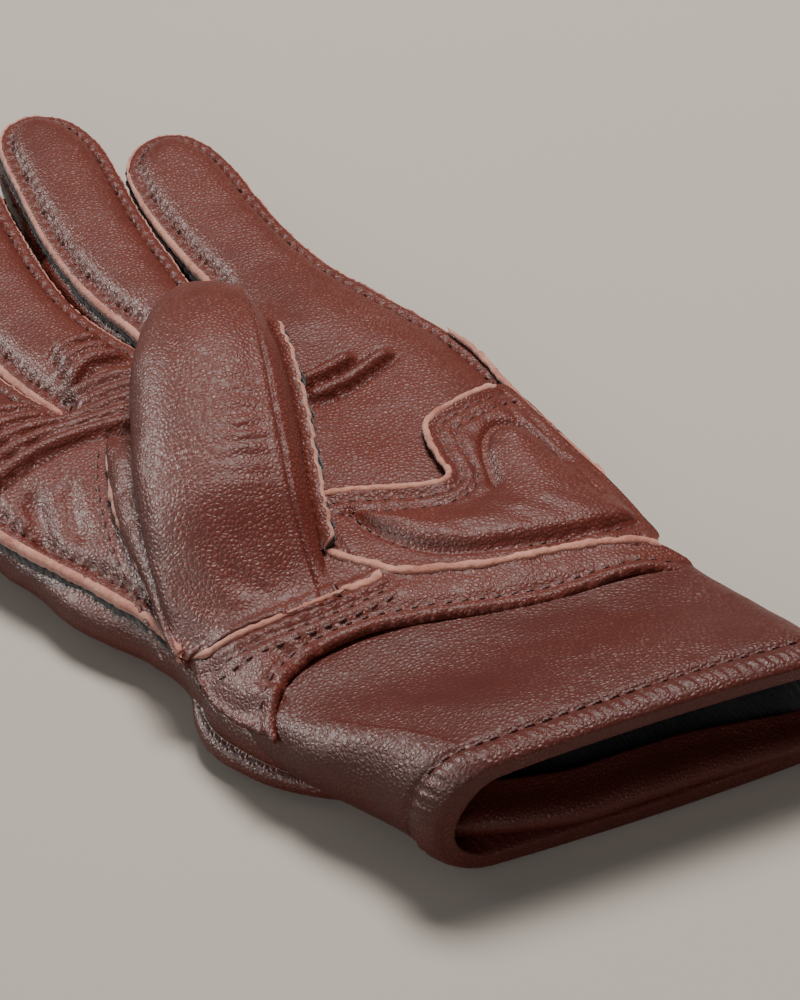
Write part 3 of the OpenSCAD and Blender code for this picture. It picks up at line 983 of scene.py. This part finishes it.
def band_top(x, y, d, s):
    """The wrist band: it starts under the thumb and rolls down over the cuff along its lower edge."""
    base = hand_smooth(x, y) + 1.0 - 2.2 * smooth((-30 - x) / 7) * smooth((-52 - y) / 10)
    dl, sl = near(x, y, BAND_LOW_LINE)
    roll = 1.1 * smooth(1 - dl / 3.2) - 2.2 * smooth(1 - dl / 1.2) - 0.5 * bell(dl - 3.2, 0.55)
    roll = roll * (0.75 + 0.25 * np.cos(2 * math.pi * sl / STITCH) * bell(dl - 3.2, 0.8))
    base = base - 1.4 * smooth(1 - dl / 8) * smooth((40 - x) / 15) * smooth((x + 32) / 8)
    dt, _ = near(x, y, BAND_TOP_LINE)
    lip = 0.5 * smooth(1 - dt / 1.6)
    ds, ss = near(x, y, SEAM_LINE)
    below = smooth((-y - 58) / 3)
    rope = (0.9 * bell(ds - 1.5, 1.0) - 0.8 * bell(ds - 3.1, 0.55) + 0.5 * bell(ds - 4.6, 1.0)) * below
    rope = rope * (0.7 + 0.3 * np.cos(2 * math.pi * ss / STITCH)) * smooth((4 - x) / 5)
    left = smooth((-12 - x) / 12) * smooth((ds - 4) / 3)
    crumple = 0.42 * left * np.sin(1.15 * (x * 0.9 + y * 0.35) + 1.8 * noise(x, y, 7, 51))
    return base + roll + lip + rope + crumple + 0.12 * noise(x, y, 4, 52)


BAND = even(np.vstack([BAND_TOP_LINE, BAND_LOW_LINE[::-1], spline(BAND_LEFT, 0.8)[::-1]]), 0.8,
            closed=True)[::-1]


band_only = laid(band_top, BAND)


def tube(points, radius, sides=8, squash=1.0):
    """A round cord along a 3-D line. radius is one number or one for each point."""
    n = len(points)
    way = unit(np.gradient(points, axis=0))
    side = unit(np.cross(way, [0, 0, 1.0]))
    up = np.cross(side, way)
    a = np.linspace(0, 2 * math.pi, sides, endpoint=False)
    r = np.broadcast_to(radius, (n,))[:, None, None]
    v = points[:, None, :] + r * (np.cos(a)[None, :, None] * side[:, None, :]
                                  + squash * np.sin(a)[None, :, None] * up[:, None, :])
    f = grid_faces(n, sides, wrap=True)
    ends = []
    for k in range(1, sides - 1):
        ends.append([0, k, k + 1, -1])
        last = (n - 1) * sides
        ends.append([last, last + k + 1, last + k, -1])
    return v.reshape(-1, 3), np.vstack([f, ends])


def raw_edge(name, line, height, radius, seed, zone="hand", drop=0.2, squash=0.8):
    """A fuzzy cut edge laid along a drawn line on a surface."""
    z = height(line[:, 0], line[:, 1]) - drop
    s = along(line)
    fade = smooth(np.minimum(s, s[-1] - s) / 2.5 + 0.12)
    r = radius * fade * (1 + 0.22 * noise(s, s * 0, 0.9, seed) + 0.2 * noise(s, s * 0, 5, seed + 1))
    points = np.column_stack([line + 0.15 * noise(s, s * 0, 1.4, seed + 2)[:, None], z])
    v, f = tube(points, r, squash=squash)
    return build(name, v, f, np.zeros(len(f)), ["raw"], zone)


def make_band():
    v, f = sheet(BAND, band_top, 0.7)
    v, f, m = solid(v, f, 1.2, rim_material=0)
    obj = build("wrist_band_leather", v, f, m, ["leather", "raw"], "hand")
    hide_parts("wrist_band", "thumb_quirk")
    raw_edge("wrist_band_cut_edge", even(BAND_TOP_LINE[BAND_TOP_LINE[:, 0] < 51], 0.5), band_only, 0.85, 101)
    corner = spline([(-8.5, -61), (-4.5, -61.6), (-1.5, -61.6), (0.6, -60)], 0.5)
    raw_edge("thumb_seam_corner", corner, lambda x, y: band_only(x, y) + 0.2, 0.9, 111)
    rows = []
    for line, away in ((BAND_LOW_LINE, -3.2), (SEAM_LINE, 3.1), (SEAM_LINE, 5.6)):
        side = outward(line, closed=False)
        inner = line + side * away
        d, _ = depth(inner[:, 0], inner[:, 1], BAND)
        inner = inner[d > 1.8]
        rows.append(stitches(*up_line(even(inner, 0.8), band_only)))
    v, f, m = joined(rows)
    build("wrist_stitching", v, f, m, ["thread"], "hand")


STRAP_TOP = [(-35.6, -57, 11.5), (-36.2, -62, 11.5), (-36, -67, 11.5), (-34.4, -73, 11), (-32.2, -79, 10.5),
             (-28.8, -84, 9), (-24, -89, 7.5)]
STRAP_LOW = [(-36, -59, 6.5), (-37.8, -64, 5.2), (-37.8, -69, 4.6), (-35.4, -75, 4.2), (-31.6, -81, 4.0),
             (-27, -86, 4.0), (-21, -91, 4.0)]


def make_strap():
    """The pull strap at the wrist: a folded strip below the band with a rounded lower edge."""
    rows = 90
    top, low = spline(STRAP_TOP, 0.3), spline(STRAP_LOW, 0.3)
    t = np.linspace(0, 1, rows)
    a = sample(t, np.linspace(0, 1, len(top)), top)
    b = sample(t, np.linspace(0, 1, len(low)), low)
    way = unit(np.gradient(b[:, :2], axis=0))
    out = np.column_stack([way[:, 1], -way[:, 0], np.zeros(rows)])
    profile = [(0.0, -1.2, 0), (0.05, -0.2, 0), (0.25, 0.3, 0), (0.5, 0.3, 0), (0.66, 0.0, 0),
               (0.72, -0.1, 0), (0.8, 0.7, 0.2), (0.9, 1.3, 0.2), (1.0, 1.5, -0.3), (1.06, 1.1, -1.2),
               (1.06, 0.3, -1.8), (1.0, -0.6, -1.6), (0.9, -2.4, -0.4), (0.5, -3.2, 0)]
    fine = spline(profile, 0.12)
    v = np.stack([mix(a, b, w) + out * o + np.array([0, 0, z]) for w, o, z in fine], axis=1)
    wave = 0.1 * noise(np.arange(rows)[:, None] * 0.35 + np.zeros(len(fine)), fine[None, :, 0] * 8, 3.5, 121)
    v = v + out[:, None, :] * wave[..., None]
    f = grid_faces(rows, len(fine))
    v, f, m = solid(v.reshape(-1, 3), f, 0.9)
    obj = build("wrist_strap_leather", v, f, m, ["leather", "raw"], "hand")
    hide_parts("wrist_strap")


# ---------------------------------------------------------------- thumb

THUMB_PATH = [(-23.4, -60, 19.0), (-20.8, -47, 22.0), (-15.6, -30, 26.0), (-8.6, -12, 30), (-2.6, 2, 31.5),
              (1.2, 10.5, 31), (4.0, 17.5, 29)]
THUMB_HALF = [(0.0, 15.0), (0.15, 15.6), (0.4, 16.2), (0.6, 15.6), (0.75, 14.2), (0.86, 12.0), (0.94, 9),
              (0.985, 5.2), (1.0, 0)]
THUMB_UP = [(0.0, 5.0), (0.12, 6.8), (0.3, 9.4), (0.5, 10.4), (0.7, 10.4), (0.85, 9.0), (0.94, 6.8),
            (0.985, 4.0), (1.0, 0)]
THUMB_DOWN = [(0.0, 3.5), (0.2, 5), (0.4, 7.6), (0.6, 9.2), (0.8, 8.4), (0.93, 6.0), (0.985, 3.4), (1.0, 0)]


def soft_curve(table, t):
    """Reads a table of (t, value) at t, rounded at the given points."""
    fine = spline(table, 0.01)
    return np.interp(t, fine[:, 0], fine[:, 1])


def thumb_frame(t):
    path = spline(THUMB_PATH, 0.5)
    s = along(path) / along(path)[-1]
    p = sample(t, s, path)
    w = sample(t, s, np.gradient(path, axis=0))
    w = unit(w)
    side = unit(np.column_stack([w[:, 1], -w[:, 0], np.zeros(len(w))]))
    up = np.cross(side, w)
    return p, side, up


def thumb_point(t, a, lift=0.0):
    """A point on the thumb: t from base to tip, a the angle, 0 on the little finger's side, 90 on top."""
    p, side, up = thumb_frame(t)
    half = soft_curve(THUMB_HALF, t)
    high = np.where(np.sin(a) >= 0, soft_curve(THUMB_UP, t), soft_curve(THUMB_DOWN, t))
    c, s = np.cos(a), np.sin(a)
    power = 2 / 2.25
    u = np.sign(c) * np.abs(c) ** power * (half + lift)
    v = np.sign(s) * np.abs(s) ** power * (high + lift)
    q = p + side * u[:, None] + up * v[:, None]
    foot = band_only(q[:, 0], q[:, 1]) - 0.3 + 1.0 * np.sin(a) + lift
    rise = smooth((t - 0.01) / 0.3) ** 0.8
    q[:, 2] = mix(foot, q[:, 2], rise)
    return q


def crease_angle(t):
    return np.radians(mix(40, 47, smooth(t / 0.5)) - 12 * smooth((t - 0.8) / 0.2))


def make_thumb():
    rows, cols = 190, 170
    t = 1 - (1 - np.linspace(0, 1, rows)) ** 1.6
    t = np.minimum(t, 0.9995)
    a = np.linspace(0, 2 * math.pi, cols, endpoint=False)
    tt, aa = np.meshgrid(t, a, indexing="ij")
    deg = np.degrees(aa)
    lift = 0.35 * noise(tt * 80, deg * 0.28, 11, 61) + 0.12 * noise(tt * 80, deg * 0.28, 4, 62)
    crease = np.degrees(crease_angle(tt))
    off = (deg - crease) * 0.27
    seen = smooth(tt / 0.06) * smooth((1 - tt) / 0.05)
    lift -= 1.7 * bell(off, 0.75) * seen
    lift += 0.45 * bell(off - 2.0, 1.5) * seen
    lift -= 0.5 * smooth((-off) / 2.0) * smooth((off + 14) / 3) * seen
    fine = np.sin(tt * 150 + 2.5 * noise(tt * 80, deg * 0.3, 6, 63))
    lift += 0.22 * (fine * bell(tt - 0.45, 0.13) * bell((deg - 75) * 0.27, 4))
    v = thumb_point(tt.ravel(), aa.ravel(), lift.ravel())
    v = np.vstack([v, thumb_point(np.array([0.9999]), np.array([0.0]))])
    f = grid_faces(rows, cols, wrap=True)[:, ::-1]
    last = (rows - 1) * cols
    j = np.arange(cols)
    tip = np.column_stack([last + j, np.full(cols, rows * cols), last + (j + 1) % cols, np.full(cols, -1)])
    f = np.vstack([f, tip])
    v, f, m = solid(v, f, 1.2, rim_material=0)
    obj = build("thumb_leather", v, f, m, ["leather", "raw"], "thumb")
    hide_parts("thumb_outer", "thumb_inner", "thumb_sides")


def thumb_ribbon(name, t, angle, corners, names, side_mats, rough=0.0, seed=70):
    """A strip standing out from the thumb along a line of angles. corners are (out, up-round) in mm."""
    p = thumb_point(t, angle)
    step = 0.01
    outer = unit(thumb_point(t, angle, lift=np.full(len(t), 1.0)) - p)
    round_way = unit(thumb_point(t, angle + step) - p)
    s = along(p)
    wob = rough * (noise(s, s * 0, 1.2, seed) + 0.6 * noise(s, s * 0, 4, seed + 1))
    k = len(corners)
    rows = []
    fade = smooth(np.minimum(np.arange(len(t)), np.arange(len(t))[::-1]) / 8)
    for o, r in corners:
        reach = (o + (wob if o > 0.5 else 0)) * (fade if o > 0 else 1)
        rows.append(p + outer * np.reshape(reach, (-1, 1)) + round_way * r)
    v = np.stack(rows, axis=1).reshape(-1, 3)
    n = len(t)
    f = grid_faces(n, k, wrap=True)
    m = np.tile(side_mats, n - 1)
    return build(name, v, f, m, names, "thumb")


def make_gusset(hole):
    """The leather between the seam round the thumb hole and the underside of the thumb."""
    rows, cols = 110, 22
    u = np.linspace(0, 1, rows)
    s = along(hole) / along(hole)[-1]
    foot = sample(u, s, hole)
    foot = np.column_stack([foot, hand_smooth(foot[:, 0], foot[:, 1]) + 0.5])
    head = thumb_point(mix(0.66, 0.02, u), np.full(rows, math.radians(196)))
    head[:, 0] += 1.6
    w = np.linspace(0, 1, cols)[None, :, None]
    v = mix(foot[:, None, :], head[:, None, :], w * smooth(u / 0.3 + 0.12)[:, None, None])
    bulge = np.sin(math.pi * w) * np.array([-1.2, 0.2, 0.6])
    fold = 0.35 * noise(u[:, None] * 60, w[..., 0] * 7, 4, 171) * np.sin(math.pi * w[..., 0])
    v = v + bulge * (0.5 + 0.5 * smooth(u / 0.3))[:, None, None]
    v[..., 2] += fold
    v, f, m = solid(v.reshape(-1, 3), grid_faces(rows, cols), 0.8)
    build("thumb_gusset", v, f, m, ["leather", "raw"], "gusset")


def make_thumb_edges():
    t = np.linspace(0.16, 0.84, 220)
    angle = np.radians(mix(6, 14, t))
    thumb_ribbon("thumb_seam_edge", t, angle,
                 [(-1.2, 0.9), (1.5, 0.75), (2.0, 0.5), (2.1, -0.1), (1.6, -0.6), (-1.2, -0.8)],
                 ["leather", "raw"], [0, 1, 1, 1, 1, 0], rough=0.3)
    thumb_ribbon("thumb_seam_lining", t, angle - 0.12,
                 [(-1.2, 0.9), (1.9, 0.7), (2.4, 0.0), (2.0, -0.8), (-1.2, -1.2)],
                 ["lining"], [0, 0, 0, 0, 0], rough=0.4, seed=76)
    seam = SEAM_LINE[(SEAM_LINE[:, 0] < -7) & (SEAM_LINE[:, 0] > -36.8)]
    raw_edge("thumb_base_cut_edge", even(seam, 0.5) + [0, 0.2],
             lambda x, y: band_only(x, y) + 0.5, 0.7, 131)
    hole = spline([(-26, -3), (-29.4, -9.5), (-33.2, -20.5), (-35, -30.5), (-35.8, -40.7), (-37.6, -52.9),
                   (-38, -57)], 0.5)
    raw_edge("thumb_hole_cut_edge", hole, lambda x, y: hand_smooth(x, y) + 1.3, 0.85, 141)
    make_gusset(hole)
    row = hole + [-2.8, 0.6]
    v, f, m = stitches(*up_line(even(row, 0.8), top_only))
    build("thumb_hole_stitching", v, f, m, ["thread"], "hand")


# ---------------------------------------------------------------- cuff

CUFF_LEFT = [(-34.4, -67), (-33.6, -78), (-30, -89), (-24.5, -99.5), (-21.4, -107.5), (-19.3, -113.5)]
CUFF_LENGTH = 47.0
CUFF_RIGHT = [(54.5, -74), (56.5, -88), (58.5, -100), (60.5, -112), (62, -124)]


def cuff_side_point(table, t):
    line = spline(table, 0.5)
    s = along(line) / along(line)[-1]
    return sample(t, s, line)


def cuff_point(t, a, lift):
    """A point on the cuff: t from wrist to mouth, a from 0 to 1 round it, starting on top at the left."""
    left, right = cuff_side_point(CUFF_LEFT, t), cuff_side_point(CUFF_RIGHT, t)
    span = right - left
    width = np.linalg.norm(span, axis=1)
    way = span / width[:, None]
    low = mix(5.0, 2.8, smooth(t))
    high = mix(17.8, 26.5, smooth((t - 0.11) / 0.85))
    mid, half = (low + high) / 2, (high - low) / 2
    cap = mix(6.0, 11.0, smooth(t))
    flat = width - 2 * cap
    quarter = math.pi * 0.5 * (cap + half) / 2
    total = 2 * flat + 4 * quarter
    s = a * total
    x, z = np.zeros(len(s)), np.zeros(len(s))
    nx, nz = np.zeros(len(s)), np.zeros(len(s))
    top = s < flat
    x[top], z[top], nz[top] = (cap + s)[top], half[top], 1
    r = (s >= flat) & (s < flat + 2 * quarter)
    g = math.pi / 2 - math.pi * (s - flat) / (2 * quarter)
    x[r], z[r] = (width - cap + cap * np.cos(g))[r], (half * np.sin(g))[r]
    nx[r], nz[r] = np.cos(g)[r], np.sin(g)[r]
    b = (s >= flat + 2 * quarter) & (s < 2 * flat + 2 * quarter)
    x[b], z[b], nz[b] = (width - cap - (s - flat - 2 * quarter))[b], -half[b], -1
    q = s >= 2 * flat + 2 * quarter
    g2 = -math.pi / 2 - math.pi * (s - 2 * flat - 2 * quarter) / (2 * quarter)
    x[q], z[q] = (cap + cap * np.cos(g2))[q], (half * np.sin(g2))[q]
    nx[q], nz[q] = np.cos(g2)[q], np.sin(g2)[q]
    arch = mix(1.9, 1.6, t) * np.sin(math.pi * np.clip(x / width, 0, 1)) * np.sign(z)
    px = left[:, 0] + way[:, 0] * (x + nx * lift)
    py = left[:, 1] + way[:, 1] * (x + nx * lift)
    return np.column_stack([px, py, mid + z + nz * lift + arch])


def make_cuff():
    """The cuff: outer leather, the rolled hem at the mouth, and the facing that turns back inside."""
    route = [(0, -1.6), (3, -0.7), (7, -0.1), (14, 0), (24, 0.1), (36, 0), (39.6, 0), (40.8, -0.5),
             (41.8, 0.35), (43.4, 1.0), (45.4, 0.95), (46.9, 0.3), (47.6, -0.8), (47.5, -2.0), (46.7, -2.9),
             (45.2, -3.3), (43, -3.5), (40.5, -3.5), (38.5, -3.5)]
    path = spline(route, 0.45)
    cols = 420
    a = np.linspace(0, 1, cols, endpoint=False)
    rows = len(path)
    tt, aa = np.meshgrid(path[:, 0] / CUFF_LENGTH, a, indexing="ij")
    lift = np.repeat(path[:, 1:2], cols, axis=1)
    lift = np.where(lift < -1, lift * (1 + 0.5 * bell((aa - 0.44) % 1 - 0.5, 0.05)), lift)
    outer = (np.arange(rows) < np.argmax(path[:, 0]))[:, None]
    around, down = aa * 210, tt * 44
    slack = 0.5 * noise(around, down, 15, 81) + 0.12 * noise(around, down, 5, 82)
    lift = lift + outer * slack * smooth((1 - tt) / 0.2)
    ripple = np.sin(aa * 2 * math.pi * 95 + 3 * noise(around, down, 6, 83))
    lift = lift + 0.16 * ripple * bell((tt - 0.92) * CUFF_LENGTH, 2.4)
    v = cuff_point(tt.ravel(), aa.ravel(), lift.ravel())
    f = grid_faces(rows, cols, wrap=True)
    v, f, m = solid(v, f[:, ::-1], 0.9)
    obj = build("cuff_leather", v, f, m, ["cuff_leather", "raw"], "cuff")
    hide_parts("cuff_front", "cuff_back", "cuff_radial_side", "cuff_ulnar_side", "cuff_hem",
                "cuff_facing")


INNER_FOLD = [(-15.5, -109.6, 9.5), (-10.6, -110.8, 9.2), (-3.3, -113.6, 9), (7.5, -116.8, 8.6),
              (20, -118.6, 8.4), (34, -120.2, 8.2), (46, -122.3, 7.6), (54, -123.4, 7)]


def make_cuff_inner_fold():
    """The turned facing inside the lower half of the mouth: a soft fold that ends in a cut edge."""
    line = spline(INNER_FOLD, 0.6)
    n = len(line)
    way = unit(np.gradient(line[:, :2], axis=0))
    back = np.column_stack([-way[:, 1], way[:, 0], np.zeros(n)])
    s = along(line)
    grow = smooth(s / 8) * mix(1, 0.8, smooth((s - 45) / 25))
    profile = np.array([(3.0, -6.0), (1.2, -4.6), (0.2, -3.0), (-0.1, -1.6), (0.5, -0.3), (2.0, 0.5),
                        (4.0, 0.7), (6.0, 0.9), (8.2, 1.6)])
    fine = spline(profile, 0.4)
    wave = 0.35 * noise(s, s * 0, 9, 161)
    rise = fine[None, :, 1:] * (0.55 + 0.45 * grow)[:, None, None] + wave[:, None, None]
    v = (line[:, None, :] + back[:, None, :] * (fine[None, :, :1] * grow[:, None, None])
         + np.array([0, 0, 1.0]) * rise)
    v, f, m = solid(v.reshape(-1, 3), grid_faces(n, len(fine))[:, ::-1], 1.1)
    build("cuff_inner_fold", v, f, m, ["cuff_leather", "flesh"], "cuff")


def make_cuff_lining():
    rows, cols = 30, 200
    t = np.linspace(-0.1, 0.88, rows)
    a = np.linspace(0, 1, cols, endpoint=False)
    tt, aa = np.meshgrid(np.maximum(t, 0), a, indexing="ij")
    lift = -4.7 + 0.4 * noise(aa * 210, tt * 44, 12, 91) - 2.5 * (tt <= 0.02)
    v = cuff_point(tt.ravel(), aa.ravel(), lift.ravel())
    v, f, m = solid(v, grid_faces(rows, cols, wrap=True), 0.6, rim_material=0)
    build("cuff_lining", v, f, m, ["lining"], "cuff")


def make_cuff_stitches():
    a = np.concatenate([np.linspace(0.955, 1, 60, endpoint=False), np.linspace(0, 0.42, 400)])
    t = np.full(len(a), 40.8 / CUFF_LENGTH)
    p = cuff_point(t, a, np.full(len(a), -0.1))
    up = cuff_point(t, a, np.full(len(a), 0.9)) - p
    way = unit(np.gradient(p, axis=0))
    v, f, m = stitches(p, np.cross(way, up), up)
    obj = build("cuff_hem_stitching", v, f, m, ["thread"], "cuff")
    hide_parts("cuff_stitching")


# ---------------------------------------------------------------- lining inside

def make_lining():
    """The knitted lining, as the inner face of the hand and of each finger."""
    def low(x, y, dd, ss):
        return 2.2 + tip_lift(y) + 5 * (1 - smooth(dd / 7))

    def high(x, y, dd, ss):
        return hand_top(x, y, dd, ss) - LEATHER - 0.9 - 1.2 * smooth(1 - dd / 4)

    for name, height in (("lining_back", low), ("lining_front", high)):
        v, f = sheet(EDGE, height, 2.0)
        c = centres_of(v, f)
        dc, _ = depth(c[:, 0], c[:, 1], EDGE)
        v, f, _ = part_of(v, f, (dc > 1.2) & (c[:, 1] > wrist_line(c[:, 0])))
        v, f, m = solid(v, f, 0.7, rim_material=0)
        for zone, obj in build_zoned(name, v, f, m, ["lining"]).items():
            if name == "lining_back":
                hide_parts(*({"hand": ["back_lining"]}.get(zone, [zone + "_lining"])))
            elif zone == "hand":
                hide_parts("palm_lining")


# ---------------------------------------------------------------- stage

def make_stage():
    mesh = bpy.data.meshes.new("floor")
    size = 4.0
    mesh.from_pydata([(-size, -size, 0), (size, -size, 0), (size, size, 0), (-size, size, 0)], [],
                     [(0, 1, 2, 3)])
    floor = bpy.data.objects.new("floor", mesh)
    bpy.context.scene.collection.objects.link(floor)
    m, tree, shader, place = nodes_for("pale_paper")
    soft = node(tree, "ShaderNodeTexNoise", {"Vector": place, "Scale": 3, "Detail": 2})
    pale = ramp(tree, soft.outputs["Fac"], [(0.3, (0.435, 0.393, 0.354, 1)), (0.7, (0.455, 0.411, 0.370, 1))])
    dress(tree, shader, Base_Color=pale, Roughness=0.85, Specular_IOR_Level=0.2)
    mesh.materials.append(m)


def area_light(name, where, target, size, watts, colour=(1, 1, 1)):
    data = bpy.data.lights.new(name, "AREA")
    data.shape, data.size, data.size_y = "RECTANGLE", size[0], size[1]
    data.energy, data.color = watts, colour
    lamp = bpy.data.objects.new(name, data)
    lamp.location = where
    lamp.rotation_euler = (Vector(target) - Vector(where)).to_track_quat("-Z", "Y").to_euler()
    bpy.context.scene.collection.objects.link(lamp)
    return lamp


def make_lights():
    world = bpy.data.worlds.new("soft_room")
    bpy.context.scene.world = world
    world.use_nodes = True
    world.node_tree.nodes["Background"].inputs[0].default_value = (1.0, 0.985, 0.965, 1)
    world.node_tree.nodes["Background"].inputs[1].default_value = 0.09
    area_light("key", (0.25, 0.27, 0.95), (0, 0.0, 0), (0.42, 0.3), 15.6, (1.0, 0.965, 0.92))
    strip = area_light("left_strip", (-0.62, 0.54, 0.52), (0, -0.02, 0.01), (0.5, 0.22), 20,
                       (1.0, 0.95, 0.90))
    strip.visible_diffuse = False
    hem_strip = area_light("hem_strip", (-0.85, -0.2, 0.42), (0, -0.1, 0.02), (0.35, 0.2), 6,
                           (1.0, 0.95, 0.90))
    hem_strip.visible_diffuse = False
    area_light("front_fill", (-0.5, -0.75, 0.5), (0, -0.1, 0.01), (0.5, 0.4), 2.0, (1.0, 0.98, 0.96))


def make_camera():
    azimuth, elevation = math.radians(-30), math.radians(42)
    half_view = math.radians(12)
    target = Vector((25, -25, 0)) * MM
    distance = 470 * MM
    back = Vector((math.sin(azimuth) * math.cos(elevation), -math.cos(azimuth) * math.cos(elevation),
                   math.sin(elevation)))
    data = bpy.data.cameras.new("camera")
    data.sensor_fit, data.sensor_width = "AUTO", 36
    data.lens = 18 / math.tan(half_view)
    data.clip_start, data.clip_end = 0.01, 50
    camera = bpy.data.objects.new("camera", data)
    camera.location = target + back * distance
    camera.rotation_euler = (-back).to_track_quat("-Z", "Y").to_euler()
    bpy.context.scene.collection.objects.link(camera)
    bpy.context.scene.camera = camera


make_camera()
make_lights()
make_stage()
make_front()
make_back()
make_edge_layer()
make_front_stitches()
make_heel()
make_band()
make_strap()
make_thumb()
make_thumb_edges()
make_cuff()
make_cuff_inner_fold()
make_cuff_lining()
make_cuff_stitches()
make_lining()
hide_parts("thumb_lining")
